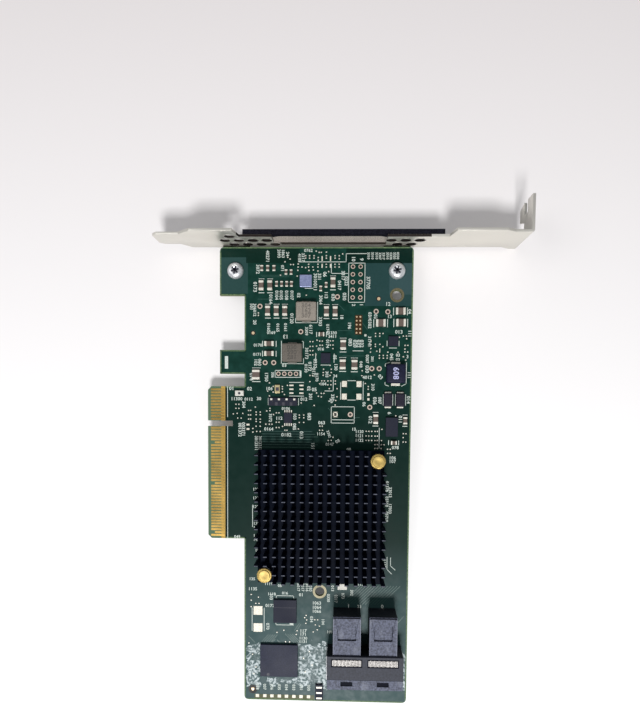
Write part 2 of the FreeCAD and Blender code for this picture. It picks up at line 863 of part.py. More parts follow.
def connector_housing():
    """The moulded two-port housing: front block, two lobes, mouths, windows and latch slots."""
    body = new_body("connector_housing")
    bottom = level("0")
    block_back = place(PORT_FRONT + " - port_block_length")
    right = "port_block_x + port_block_width"
    front_outline = sketch_on(body, "port_block_outline", "XY_Plane", bottom)
    rectangle(front_outline, ("port_block_x", place(PORT_FRONT)), (right, block_back))
    pad(body, front_outline, "port_height")
    lobes = sketch_on(body, "port_lobes", "XY_Plane", bottom)
    for step in range(2):
        left = "lobe_x + %d * lobe_pitch" % step
        rectangle(lobes, (left, "%s - 1" % block_back), ("%s + lobe_width" % left, "%s + lobe_length" % block_back))
    pad(body, lobes, "lobe_height")
    step_cut = sketch_on(body, "port_front_step", "XY_Plane", "%s + port_height - port_step_drop" % bottom)
    step_back = place(PORT_FRONT + " - port_step_length")
    rectangle(step_cut, ("port_block_x - 1", "%s - 1" % place(PORT_FRONT)), ("%s + 1" % right, step_back))
    pocket(body, step_cut, "port_step_drop + 1", backwards=True)
    mouths = sketch_on(body, "port_mouths", "XZ_Plane", "-(%s)" % place(PORT_FRONT))
    recesses = sketch_on(body, "lobe_recesses", "XY_Plane", "%s + lobe_height" % bottom)
    windows = sketch_on(body, "port_windows", "XY_Plane", "%s + mouth_floor + mouth_height" % bottom)
    window = PORT_FRONT + " - port_window_margin"
    slot = PORT_FRONT + " - latch_slot_margin"
    for step in range(2):
        middle = "lobe_x + lobe_width / 2 + %d * lobe_pitch" % step
        mouth_low = ("%s - mouth_width / 2" % middle, "%s + mouth_floor" % bottom)
        mouth_high = ("%s + mouth_width / 2" % middle, "%s + mouth_floor + mouth_height" % bottom)
        rectangle(mouths, mouth_low, mouth_high)
        recess_low = "%s + lobe_length - lobe_recess_margin - lobe_recess_length" % block_back
        rectangle(recesses, ("%s - lobe_recess_width / 2" % middle, recess_low),
                  ("%s + lobe_recess_width / 2" % middle, "%s + lobe_recess_length" % recess_low))
        rectangle(windows, ("%s - mouth_width / 2" % middle, place(window + " + port_window_length")),
                  ("%s + mouth_width / 2" % middle, place(window)))
        rectangle(windows, ("%s - latch_slot_width / 2" % middle, place(slot + " + latch_slot_length")),
                  ("%s + latch_slot_width / 2" % middle, place(slot)))
    pocket(body, mouths, "mouth_depth")
    pocket(body, recesses, "lobe_recess_depth")
    body.Tip = pocket(body, windows, "port_height", backwards=True)
    named("connector_housing", body)


def connector_contacts():
    """Spring beams in two rows in each mouth, held by the mouth's back wall."""
    beams = []
    back = place(PORT_FRONT + " - mouth_depth")
    for port in range(2):
        middle = "lobe_x + lobe_width / 2 + %d * lobe_pitch" % port
        for row, height in enumerate(("port_contact_low", "port_contact_high")):
            for step in range(SIZES["port_contact_count"]):
                shift = "(%d - (port_contact_count - 1) / 2) * port_contact_pitch" % step
                size = ("port_contact_width", "port_contact_reach", "port_contact_thickness")
                low = ("%s + %s - port_contact_width / 2" % (middle, shift), "%s - port_contact_reach" % back,
                       level(height))
                beams.append(block("port_beam_%d_%d_%d" % (port, row, step), size, low))
    group("connector_contacts", beams)


def connector_clips():
    """Metal strips at the housing's sides."""
    clips = []
    sides = (("left", "port_block_x - clip_thickness"), ("right", "port_block_x + port_block_width"))
    for name, across in sides:
        size = ("clip_thickness", "clip_length", "clip_height")
        low = (across, place(PORT_FRONT + " - clip_margin + clip_length"), level("0"))
        clips.append(block("side_clip_%s" % name, size, low))
    group("connector_clips", clips)


# Inductors: name, middle X, place, X size and Y size
COILS = [(33.4, 21.5, 6.8, 7.0), (28.75, 35.2, 6.7, 7.0)]
CORE = (63.5, 41.95, 6.5, 6.4)


def inductors():
    """Two grey moulded inductors and one dark core, with their end terminals."""
    bodies = []
    ends = []
    for index, (across, along, width, length) in enumerate(COILS, start=1):
        size = (width, "%s - 2 * coil_terminal_length" % length, "coil_height")
        coil = block_at("coil_%d" % index, size, (across, along), "0")
        bodies.append(chamfered("coil_cut_%d" % index, coil, "coil_corner", upright))
        for side in (-1, 1):
            middle = "%s + %d * (%s - coil_terminal_length) / 2" % (along, side, length)
            size = ("coil_terminal_width", "coil_terminal_length", "coil_terminal_height")
            ends.append(block_at("coil_end_%d_%d" % (index, side + 1), size, (across, middle), "0"))
    group("output_inductors", bodies)
    group("inductor_terminals", ends)
    across, along, width, length = CORE
    size = (width, length, "core_height - core_terminal_height")
    named("core_inductor", block_at("core", size, (across, along), "core_terminal_height"))
    feet = []
    for side in (-1, 1):
        middle = "%s + %d * %s / 2" % (along, side, length)
        size = ("coil_terminal_width", "coil_terminal_width / 2", "core_terminal_height")
        feet.append(block_at("core_foot_%d" % (side + 1), size, (across, middle), "0"))
    group("core_terminals", feet)


# Capacitors: middle X, place, X size and Y size
CERAMICS = [
    (18.2, 12.8, 1.6, 3.2), (21.1, 12.8, 1.6, 3.2), (20.4, 21.2, 1.6, 3.2), (23.3, 21.2, 1.6, 3.2),
    (26.15, 21.2, 1.6, 3.2), (42.2, 11.8, 1.6, 3.2), (40.1, 21.3, 1.6, 3.2), (43.0, 21.3, 1.6, 3.2),
    (57.0, 57.2, 1.6, 3.2), (45.8, 32.4, 1.9, 3.2), (45.7, 38.9, 2.0, 3.2), (49.65, 39.0, 2.0, 3.2),
    (16.5, 42.5, 2.5, 3.2), (66.9, 57.6, 1.3, 2.4), (64.8, 21.2, 3.2, 2.2), (58.25, 25.1, 3.2, 2.4),
    (64.95, 25.0, 3.2, 2.4), (20.9, 32.1, 3.2, 1.6), (20.9, 35.4, 3.2, 1.6), (38.5, 28.9, 1.9, 1.3),
    (63.2, 65.1, 2.0, 1.25),
]


def ceramic_capacitors():
    """Larger ceramic capacitors."""
    bodies = []
    for index, (across, along, width, length) in enumerate(CERAMICS, start=1):
        bodies.append(block_at("ceramic_%d" % index, (width, length, "ceramic_height"), (across, along), "0"))
    group("ceramic_capacitors", bodies)


POLYMERS = [(61.0, 50.7), (65.1, 50.7)]


def polymer_capacitors():
    """Two dark polymer capacitors with pale end terminals."""
    bodies = []
    ends = []
    for index, middle in enumerate(POLYMERS, start=1):
        size = ("polymer_width", "polymer_length", "polymer_height")
        bodies.append(block_at("polymer_%d" % index, size, middle, "0"))
        for side in (-1, 1):
            along = "%s + %d * (polymer_length + polymer_terminal_length) / 2" % (middle[1], side)
            size = ("polymer_terminal_width", "polymer_terminal_length", "polymer_terminal_height")
            ends.append(block_at("polymer_end_%d_%d" % (index, side + 1), size, (middle[0], along), "0"))
    group("polymer_capacitors", bodies)
    group("polymer_terminals", ends)


# Small chips: middle X, place, X size and Y size
CHIPS = [
    (18.3, 7.0, 1.0, 1.9), (20.3, 7.0, 1.0, 1.9), (22.4, 7.0, 1.0, 1.9), (26.45, 8.3, 0.9, 1.7),
    (28.15, 8.3, 0.9, 1.7), (23.3, 12.2, 0.9, 1.8), (25.0, 12.2, 0.9, 1.8), (26.7, 12.2, 0.9, 1.8),
    (28.3, 12.2, 0.9, 1.8), (38.1, 13.7, 0.9, 1.8), (39.9, 12.5, 0.9, 1.8),
]


def small_chips():
    """Small chip capacitors and resistors."""
    chips = []
    for index, (across, along, width, length) in enumerate(CHIPS, start=1):
        chips.append(block_at("chip_%d" % index, (width, length, "chip_height"), (across, along), "0"))
    group("small_chips", chips)


def solder_side_capacitors():
    """Chip capacitors behind the controller."""
    chips = []
    for row in range(4):
        for column in range(3):
            across = "sink_x + (%d - 1) * solder_side_chip_pitch" % column
            along = "sink_place + (%d - 1.5) * solder_side_chip_pitch" % row
            size = ("solder_side_chip_width", "solder_side_chip_length", "chip_height")
            bottom = "-board_thickness - chip_height"
            chips.append(block_at("back_chip_%d_%d" % (row, column), size, (across, along), bottom))
    group("solder_side_capacitors", chips)


# Packages: node, middle X, place, X size, Y size and height
PACKAGES = [
    ("clock_oscillator", 33.1, 11.3, 4.0, 4.0, "clock_height"),
    ("regulator_package", 62.45, 59.8, 4.1, 6.4, "package_height"),
    ("buffer_memory", 26.7, "board_length - buffer_margin", 8.0, 8.1, "package_height"),
    ("flash_memory", 24.7, "board_length - flash_margin", 13.0, 11.3, "flash_height"),
    ("serial_memory", "serial_x", "serial_place", "serial_width", "serial_length", "package_height"),
    ("resistor_network", 25.6, 51.55, 9.8, 2.7, "network_height"),
    ("output_diode", 23.75, 47.3, 1.7, 2.8, "lamp_height"),
    ("indicator_lamp", 46.4, 114.8, 3.2, 2.0, "lamp_height"),
    ("crystal", 10.85, 48.8, 2.9, 1.8, "lamp_height"),
    ("edge_transistor", 38.7, "board_length - transistor_margin", 2.6, 5.5, "package_height"),
]


def packages():
    """Single rectangular packages."""
    for name, across, along, width, length, height in PACKAGES:
        named(name, block_at(name + "_block", (width, length, height), (across, along), "0"))


REGULATORS = [(62.55, 31.1, 3.3, 3.2), (39.95, 36.9, 3.3, 3.4)]


def regulators():
    """Two leadless regulators."""
    pieces = []
    for index, (across, along, width, length) in enumerate(REGULATORS, start=1):
        size = (width, length, "regulator_height")
        pieces.append(block_at("regulator_%d" % index, size, (across, along), "0"))
    group("leadless_regulators", pieces)


def serial_memory_pins():
    """Four pins on each side of the serial memory."""
    pins = []
    for side in (-1, 1):
        for step in range(4):
            across = "serial_x + (%d - 1.5) * serial_pin_pitch" % step
            along = "serial_place + %d * (serial_length + serial_pin_length) / 2" % side
            size = ("serial_pin_width", "serial_pin_length", "serial_pin_height")
            pins.append(block_at("serial_pin_%d_%d" % (side + 1, step), size, (across, along), "0"))
    group("serial_memory_pins", pins)


def build():
    """Make every sub-part."""
    circuit_board()
    edge_contacts("edge_contacts_component_side", "board_thickness / 2")
    edge_contacts("edge_contacts_solder_side", "-board_thickness / 2 - contact_thickness")
    mounting_bracket()
    bracket_screws()
    gasket()
    controller()
    heatsink()
    push_pins()
    push_pin_springs()
    connector_housing()
    connector_contacts()
    connector_clips()
    inductors()
    ceramic_capacitors()
    polymer_capacitors()
    small_chips()
    solder_side_capacitors()
    packages()
    regulators()
    serial_memory_pins()


def check():
    """Stop if anything failed to build."""
    for thing in document.Objects:
        if {"Invalid", "Error"} & set(thing.State):
            raise RuntimeError("%s failed: %s" % (thing.Name, thing.State))
    for piece in NODES:
        if piece.Shape.isNull() or not piece.Shape.isValid():
            raise RuntimeError("%s has no valid shape" % piece.Label)


def write():
    """Write one STEP file for each sub-part."""
    os.makedirs("parts", exist_ok=True)
    for piece in NODES:
        piece.Shape.exportStep("parts/%s.step" % piece.Label)
        print(piece.Label, len(piece.Shape.Solids), "solids, %.2f mm3" % piece.Shape.Volume)


build()
document.recompute()
check()
write()
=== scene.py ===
"""Storage controller card: finishes, printed marks, small parts and the stage."""
import math

import bmesh
import bpy
from bpy.props import FloatProperty, FloatVectorProperty, IntProperty, PointerProperty
from bpy.types import Operator, Panel, PropertyGroup
from mathutils import Matrix, Vector


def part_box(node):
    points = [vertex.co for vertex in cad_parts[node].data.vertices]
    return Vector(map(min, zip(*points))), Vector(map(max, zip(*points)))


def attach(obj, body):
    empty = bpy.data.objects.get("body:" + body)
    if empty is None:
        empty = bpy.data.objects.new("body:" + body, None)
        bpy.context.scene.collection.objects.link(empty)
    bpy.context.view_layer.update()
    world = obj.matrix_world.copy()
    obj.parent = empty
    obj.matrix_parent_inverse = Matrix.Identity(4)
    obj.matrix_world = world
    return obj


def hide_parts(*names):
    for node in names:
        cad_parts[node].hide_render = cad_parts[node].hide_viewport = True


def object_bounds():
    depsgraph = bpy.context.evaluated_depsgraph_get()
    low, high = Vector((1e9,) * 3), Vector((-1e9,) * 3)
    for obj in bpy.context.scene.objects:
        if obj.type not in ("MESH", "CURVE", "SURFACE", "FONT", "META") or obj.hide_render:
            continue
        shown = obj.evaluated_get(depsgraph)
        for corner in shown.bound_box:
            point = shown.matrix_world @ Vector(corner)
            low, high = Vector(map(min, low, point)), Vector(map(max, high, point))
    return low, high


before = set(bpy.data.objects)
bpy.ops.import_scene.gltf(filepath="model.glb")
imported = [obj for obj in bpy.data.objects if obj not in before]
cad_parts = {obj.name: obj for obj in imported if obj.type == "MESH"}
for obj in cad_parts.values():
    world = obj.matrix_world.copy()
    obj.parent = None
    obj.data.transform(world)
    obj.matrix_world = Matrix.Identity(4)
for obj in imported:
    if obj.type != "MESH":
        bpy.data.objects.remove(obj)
CAD_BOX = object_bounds()

bl_info = {
    "name": "Storage Controller Card",
    "version": (1, 0, 0),
    "blender": (4, 5, 0),
    "location": "3D View > Sidebar > Card",
    "description": "Finishes and small parts of a storage controller card on its CAD frame",
    "category": "Object",
}

# The card's frame: X from the finger edge, Y towards the bracket, Z out of the component side.
# Places on the board are given in millimetres from the finger edge and from the bracket edge.
MM = 0.001
KEY_PLACE = 59.05
BOARD_TOP = 0.785
BOARD_THICKNESS = 1.57

# What every colour field takes, and every length field
COLOUR = {"subtype": "COLOR", "size": 3, "min": 0.0, "max": 1.0}
LENGTH = {"unit": "LENGTH", "precision": 6}


def at(across, along, height=0.0):
    """A point above the board, in metres."""
    return Vector((across, KEY_PLACE - along, BOARD_TOP + height)) * MM


def paint(red, green, blue):
    """A colour read on a screen, as the linear colour that a shader takes."""
    def channel(value):
        value /= 255
        return value / 12.92 if value <= 0.04045 else ((value + 0.055) / 1.055) ** 2.4
    return channel(red), channel(green), channel(blue)


def scaled(tone, share):
    """A colour made darker or lighter."""
    return tuple(share * channel for channel in tone)


def opaque(tone):
    """A colour with full alpha."""
    return tone[0], tone[1], tone[2], 1.0


# Shader helpers
def new_look(name):
    """An empty material: its tree and its principled shader."""
    look = bpy.data.materials.new(name)
    look.use_nodes = True
    tree = look.node_tree
    return look, tree, tree.nodes["Principled BSDF"]


def object_place(tree):
    """The object coordinates."""
    return tree.nodes.new("ShaderNodeTexCoord").outputs["Object"]


def noise(tree, place, scale, detail=3.0, stretch=(1.0, 1.0, 1.0)):
    """A noise pattern on the object coordinates."""
    mapping = tree.nodes.new("ShaderNodeMapping")
    mapping.inputs["Scale"].default_value = stretch
    tree.links.new(place, mapping.inputs["Vector"])
    pattern = tree.nodes.new("ShaderNodeTexNoise")
    pattern.inputs["Scale"].default_value = scale
    pattern.inputs["Detail"].default_value = detail
    tree.links.new(mapping.outputs["Vector"], pattern.inputs["Vector"])
    return pattern.outputs["Fac"]


def ramp(tree, factor, stops):
    """Colours or greys along a factor."""
    node = tree.nodes.new("ShaderNodeValToRGB")
    tree.links.new(factor, node.inputs["Fac"])
    elements = node.color_ramp.elements
    while len(elements) < len(stops):
        elements.new(0.5)
    for element, (position, tone) in zip(elements, stops):
        element.position = position
        element.color = opaque(tone if hasattr(tone, "__len__") else (tone, tone, tone))
    return node.outputs["Color"]


def blended(tree, factor, first, second):
    """A mix of two colours, each a socket or a fixed colour."""
    node = tree.nodes.new("ShaderNodeMix")
    node.data_type = "RGBA"
    for socket, value in ((node.inputs["A"], first), (node.inputs["B"], second)):
        socket = [s for s in node.inputs if s.name == socket.name and s.type == "RGBA"][0]
        if hasattr(value, "links"):
            tree.links.new(value, socket)
        else:
            socket.default_value = opaque(value)
    factor_in = [s for s in node.inputs if s.name == "Factor" and s.type == "VALUE"][0]
    if hasattr(factor, "links"):
        tree.links.new(factor, factor_in)
    else:
        factor_in.default_value = factor
    return [s for s in node.outputs if s.type == "RGBA"][0]


def sum_of(tree, kind, first, second):
    """A math node on two sockets or numbers."""
    node = tree.nodes.new("ShaderNodeMath")
    node.operation = kind
    for socket, value in zip(node.inputs, (first, second)):
        if hasattr(value, "links"):
            tree.links.new(value, socket)
        else:
            socket.default_value = value
    return node.outputs["Value"]


def relief(tree, shader, height, strength, distance):
    """Bump on a shader from a height pattern."""
    bump = tree.nodes.new("ShaderNodeBump")
    bump.inputs["Strength"].default_value = strength
    bump.inputs["Distance"].default_value = distance
    tree.links.new(height, bump.inputs["Height"])
    tree.links.new(bump.outputs["Normal"], shader.inputs["Normal"])


def spread(tree, value, low, high, most=1.0):
    """How far a value is between two limits, from zero to a given share."""
    node = tree.nodes.new("ShaderNodeMapRange")
    for name, limit in (("From Min", low), ("From Max", high), ("To Max", most)):
        node.inputs[name].default_value = limit
    tree.links.new(value, node.inputs["Value"])
    return node.outputs["Result"]


def between(tree, value, low, high):
    """One where a value lies between two limits, zero elsewhere."""
    above, below = sum_of(tree, "GREATER_THAN", value, low), sum_of(tree, "LESS_THAN", value, high)
    return sum_of(tree, "MULTIPLY", above, below)


def axes_of(tree, vector):
    """The X, Y and Z of a vector."""
    parts = tree.nodes.new("ShaderNodeSeparateXYZ")
    tree.links.new(vector, parts.inputs["Vector"])
    return parts.outputs


def facing(tree, axis):
    """How much a face's normal points along an axis."""
    return axes_of(tree, tree.nodes.new("ShaderNodeNewGeometry").outputs["Normal"])[axis]


def plain_finish(name, dark, light, grain, roughness, metal=0.0, bump=0.15, stretch=(1.0, 1.0, 1.0), gleam=0.5):
    """A finish whose tone and gloss vary between two tones with a grain of a size."""
    look, tree, shader = new_look(name)
    place = object_place(tree)
    fine = noise(tree, place, 1000.0 / grain, 4.0, stretch)
    wide = noise(tree, place, 90.0, 2.0)
    tone = ramp(tree, fine, [(0.35, dark), (0.65, light)])
    soft = blended(tree, ramp(tree, wide, [(0.3, 0.0), (0.8, 0.35)]), tone, light)
    tree.links.new(soft, shader.inputs["Base Color"])
    gloss = ramp(tree, wide, [(0.3, max(roughness - 0.07, 0.02)), (0.7, min(roughness + 0.07, 1.0))])
    tree.links.new(gloss, shader.inputs["Roughness"])
    shader.inputs["Metallic"].default_value = metal
    shader.inputs["Specular IOR Level"].default_value = gleam
    relief(tree, shader, fine, bump, 0.00005)
    return look


# Finishes: dark and light tone, grain in millimetres, roughness, metal, bump and gleam
FINISHES = {
    "plated_rings": ((168, 148, 134), (222, 204, 190), 0.2, 0.5, 0.2, 0.1, 0.5),
    "bare_ring": ((84, 80, 58), (122, 114, 84), 0.25, 0.4, 0.3, 0.1, 0.5),
    "hole_shade_and_dark_rings": ((12, 12, 12), (30, 26, 22), 0.3, 0.6, 0.2, 0.1, 0.5),
    "pad_tin": ((184, 178, 164), (238, 233, 219), 0.3, 0.5, 0.1, 0.2, 0.2),
    "mask_rim": ((62, 88, 62), (108, 128, 92), 0.6, 0.5, 0.0, 0.1, 0.1),
    "bare_copper": ((206, 168, 120), (244, 224, 190), 0.3, 0.3, 0.5, 0.05, 0.5),
    "vent_edge_highlight": ((196, 190, 180), (246, 244, 238), 0.5, 0.3, 0.5, 0.05, 0.5),
    "screw_plating": ((196, 198, 202), (232, 234, 236), 0.5, 0.3, 0.6, 0.05, 0.5),
    "recess_shade": ((36, 38, 48), (70, 72, 82), 0.3, 0.5, 0.6, 0.1, 0.5),
    "woven_backing": ((112, 102, 94), (226, 216, 206), 0.3, 0.6, 0.1, 0.6, 0.5),
    "conductive_foam": ((2, 3, 6), (34, 34, 44), 0.3, 0.9, 0.0, 0.7, 0.05),
    "pin_highlight_paint": ((46, 50, 62), (92, 96, 108), 0.5, 0.5, 0.0, 0.1, 0.2),
    "package_laminate": ((20, 50, 36), (36, 70, 50), 0.4, 0.4, 0.0, 0.1, 0.5),
    "controller_lid_finish": ((30, 32, 36), (46, 48, 52), 0.3, 0.45, 0.2, 0.1, 0.5),
    "thermal_pad_finish": ((120, 122, 126), (150, 152, 154), 0.4, 0.8, 0.0, 0.2, 0.5),
    "spring_wire": ((140, 140, 140), (190, 190, 188), 0.4, 0.3, 0.9, 0.05, 0.5),
    "port_contacts": ((170, 170, 168), (224, 224, 222), 0.3, 0.28, 0.9, 0.05, 0.5),
    "clip_metal": ((110, 112, 116), (170, 172, 174), 0.3, 0.5, 0.3, 0.1, 0.5),
    "port_shade": ((6, 8, 18), (16, 19, 32), 0.3, 0.7, 0.0, 0.1, 0.1),
    "port_comb_metal": ((92, 88, 84), (206, 202, 198), 0.25, 0.5, 0.2, 0.3, 0.2),
    "polymer_moulding": ((20, 20, 32), (38, 35, 50), 0.3, 0.55, 0.0, 0.1, 0.2),
    "dull_tin": ((96, 92, 86), (132, 128, 120), 0.3, 0.6, 0.3, 0.2, 0.5),
    "dark_ferrite_finish": ((10, 13, 34), (26, 29, 54), 0.4, 0.6, 0.0, 0.2, 0.2),
    "lilac_ink": ((150, 152, 196), (190, 192, 226), 0.3, 0.6, 0.0, 0.15, 0.5),
    "lilac_lid": ((112, 120, 158), (142, 150, 186), 0.5, 0.3, 0.2, 0.05, 0.5),
    "pale_gold_lid": ((188, 170, 122), (228, 214, 170), 0.4, 0.3, 0.7, 0.05, 0.5),
    "white_moulding": ((186, 184, 176), (222, 220, 212), 0.4, 0.5, 0.0, 0.1, 0.2),
    "package_marks": ((30, 30, 40), (60, 60, 72), 0.3, 0.6, 0.0, 0.15, 0.5),
}


def finish(name):
    """The finish of a name in the table, made the first time."""
    if name in bpy.data.materials:
        return bpy.data.materials[name]
    dark, light, grain, roughness, metal, bump, gleam = FINISHES[name]
    return plain_finish(name, paint(*dark), paint(*light), grain, roughness, metal, bump, gleam=gleam)


# Mesh helpers
def rounded(bm, edges, radius, steps):
    """Round edges by a radius in metres."""
    return bmesh.ops.bevel(bm, geom=list(edges), offset=radius, offset_type="OFFSET", segments=steps, profile=0.5,
                           affect="EDGES", material=-1, clamp_overlap=True)["verts"]


def block_into(bm, low, high, soft=0.0, steps=1):
    """Add a block between two corners in metres, its edges rounded by a radius in metres."""
    size = high - low
    sides = Matrix.Diagonal((abs(size.x), abs(size.y), abs(size.z), 1.0))
    made = bmesh.ops.create_cube(bm, size=1.0, matrix=Matrix.Translation((low + high) / 2) @ sides)["verts"]
    if soft:
        made = rounded(bm, {edge for vert in made for edge in vert.link_edges}, soft, steps)
    return made


def brick_into(bm, across, along, width, length, low, high, soft=0.0, steps=1):
    """Add a block standing on the board, from its middle and sizes in millimetres."""
    first = at(across - width / 2, along + length / 2, low)
    last = at(across + width / 2, along - length / 2, high)
    return block_into(bm, first, last, soft * MM, steps)


def line_into(bm, first, last, width, high):
    """Add a printed line between two points of the board, sizes in millimetres."""
    start, end = at(*first, high / 2), at(*last, high / 2)
    run = end - start
    turn = Matrix.Rotation(math.atan2(run.y, run.x), 4, "Z")
    size = Matrix.Diagonal((run.length + width * MM, width * MM, high * MM, 1.0))
    bmesh.ops.create_cube(bm, size=1.0, matrix=Matrix.Translation((start + end) / 2) @ turn @ size)


def disc_into(bm, across, along, radius, low, high, sides=16):
    """Add an upright cylinder, sizes in millimetres."""
    middle = at(across, along, (low + high) / 2)
    bmesh.ops.create_cone(bm, cap_ends=True, segments=sides, radius1=radius * MM, radius2=radius * MM,
                          depth=(high - low) * MM, matrix=Matrix.Translation(middle))


def ring_into(bm, across, along, inner, outer, low, high, sides=20):
    """Add a flat ring with a square section, spun about an upright axis."""
    middle = at(across, along, 0.0)
    corners = [(inner, low), (outer, low), (outer, high), (inner, high)]
    verts = [bm.verts.new(middle + Vector((r, 0.0, z)) * MM) for r, z in corners]
    face = bm.faces.new(verts)
    bmesh.ops.spin(bm, geom=[face, *face.edges, *verts], cent=middle, axis=(0.0, 0.0, 1.0),
                   angle=2 * math.pi, steps=sides, use_merge=True)


def turned_into(bm, across, along, profile, sides=32):
    """Add a solid turned about an upright axis from its profile of (radius, height) in millimetres."""
    middle = at(across, along, 0.0)
    verts = [bm.verts.new(middle + Vector((r, 0.0, z)) * MM) for r, z in profile]
    edges = [bm.edges.new(pair) for pair in zip(verts, verts[1:])]
    bmesh.ops.spin(bm, geom=[*verts, *edges], cent=middle, axis=(0.0, 0.0, 1.0),
                   angle=2 * math.pi, steps=sides, use_merge=True)


def mended(bm):
    """Merge doubles and turn every face outwards."""
    bmesh.ops.remove_doubles(bm, verts=bm.verts[:], dist=1e-7)
    bmesh.ops.dissolve_degenerate(bm, edges=bm.edges[:], dist=1e-8)
    bmesh.ops.recalc_face_normals(bm, faces=bm.faces[:])


def piece(name, bm, look, replaced=(), smooth=None):
    """Make a mesh a piece of the card."""
    mesh = bpy.data.meshes.new(name)
    bm.to_mesh(mesh)
    bm.free()
    if smooth is not None:
        mesh.shade_smooth()
        mesh.set_sharp_from_angle(angle=math.radians(smooth))
    mesh.materials.append(look)
    obj = bpy.data.objects.new(name, mesh)
    bpy.context.scene.collection.objects.link(obj)
    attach(obj, "root")
    if replaced:
        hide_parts(*replaced)
    return obj


def bricks(name, look, rows, replaced=(), smooth=None):
    """Make a piece of blocks, each row as brick_into takes it."""
    bm = bmesh.new()
    for row in rows:
        brick_into(bm, *row)
    piece(name, bm, look, replaced, smooth)


def runs_of(paths):
    """The straight runs along each path of points."""
    return [run for points in paths for run in zip(points, points[1:])]


def lines(name, look, runs, width, high):
    """Make a piece of straight lines on the board, sizes in millimetres."""
    bm = bmesh.new()
    for first, last in runs:
        line_into(bm, first, last, width, high)
    piece(name, bm, look)


def dressed(node, look):
    """Give a CAD node its finish."""
    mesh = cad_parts[node].data
    mesh.materials.clear()
    mesh.materials.append(look)


def node_copy(node, soft, steps, angle=30.0):
    """A merged copy of a CAD node with its sharp edges rounded by a radius in millimetres."""
    bm = bmesh.new()
    bm.from_mesh(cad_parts[node].data)
    bmesh.ops.remove_doubles(bm, verts=bm.verts[:], dist=1e-6)
    bmesh.ops.dissolve_limit(bm, angle_limit=math.radians(0.5), verts=bm.verts[:], edges=bm.edges[:])
    sharp = [edge for edge in bm.edges if edge.is_manifold and edge.calc_face_angle(0.0) > math.radians(angle)]
    rounded(bm, sharp, soft * MM, steps)
    return bm


# Printed digits, their width as a share of their height
DIGIT_WIDTH = 0.72


def digit_shapes():
    """A flat mesh for each digit, one unit high."""
    shapes = {}
    for sign in "0123456789":
        curve = bpy.data.curves.new("digit", "FONT")
        curve.body = sign
        curve.align_x = "CENTER"
        curve.align_y = "CENTER"
        curve.resolution_u = 2
        curve.extrude = 0.01
        curve.offset = 0.02
        text = bpy.data.objects.new("digit", curve)
        bpy.context.scene.collection.objects.link(text)
        bpy.context.view_layer.update()
        shapes[sign] = bpy.data.meshes.new_from_object(text)
        bpy.data.objects.remove(text)
        bpy.data.curves.remove(curve)
    return shapes


def number_into(bm, shapes, digits, across, along, height, tall, turn=0.0):
    """Add a printed number, its middle and its digits' height in millimetres, turned by degrees."""
    step = DIGIT_WIDTH * tall
    spin = Matrix.Rotation(math.radians(turn), 4, "Z")
    for index, sign in enumerate(digits):
        offset = spin @ Vector(((index - (len(digits) - 1) / 2) * step, 0.0, 0.0))
        where = at(across, along, height) + offset * MM
        before = len(bm.verts)
        bm.from_mesh(shapes[sign])
        bm.verts.ensure_lookup_table()
        fresh = bm.verts[before:]
        size = Matrix.Scale(tall * MM / DIGIT_WIDTH, 4)
        bmesh.ops.transform(bm, verts=fresh, matrix=Matrix.Translation(where) @ spin @ size)


# Sizes and colours
class BoardSettings(PropertyGroup):
    """Colours and heights of the printed board."""
    mask: FloatVectorProperty(name="Solder Mask", description="Green of the solder mask over bare laminate",
                              default=paint(8, 44, 36), **COLOUR)
    mask_light: FloatVectorProperty(name="Mask Over Copper", description="Green of the solder mask over copper",
                                    default=paint(20, 60, 52), **COLOUR)
    silk: FloatVectorProperty(name="Printed Marks", description="Colour of the printed marks",
                              default=paint(214, 224, 216), **COLOUR)
    laminate: FloatVectorProperty(name="Laminate", description="Colour of the bare laminate at the edges",
                                  default=paint(112, 122, 66), **COLOUR)
    silk_height: FloatProperty(name="Print Thickness", description="How far the printed marks stand above the mask",
                               default=0.00002, min=0.000005, max=0.0001, **LENGTH)
    line_width: FloatProperty(name="Line Width", description="Width of the printed outlines",
                              default=0.0002, min=0.00005, max=0.001, **LENGTH)


class MetalSettings(PropertyGroup):
    """Colours of the bare metals."""
    gold: FloatVectorProperty(name="Gold", description="Colour of the contacts' gold plating",
                              default=paint(205, 168, 92), **COLOUR)
    nickel: FloatVectorProperty(name="Nickel", description="Colour of the bracket's plating",
                                default=paint(222, 219, 210), **COLOUR)
    tin: FloatVectorProperty(name="Tin", description="Colour of the soldered ends",
                             default=paint(232, 228, 216), **COLOUR)
    brass: FloatVectorProperty(name="Brass", description="Colour of the push pins",
                               default=paint(184, 158, 88), **COLOUR)
    vent_low: FloatProperty(name="Vent Shade From", description="Height above which the vents' walls are dark",
                            default=-0.0016, min=-0.01, max=0.01, **LENGTH)
    vent_high: FloatProperty(name="Vent Shade To", description="Height below which the vents' walls are dark",
                             default=0.0112, min=0.0, max=0.03, **LENGTH)
    bracket_edge: FloatProperty(name="Bracket Edge Radius", description="Rounding of the bracket's cut edges",
                                default=0.00012, min=0.00001, max=0.0003, **LENGTH)


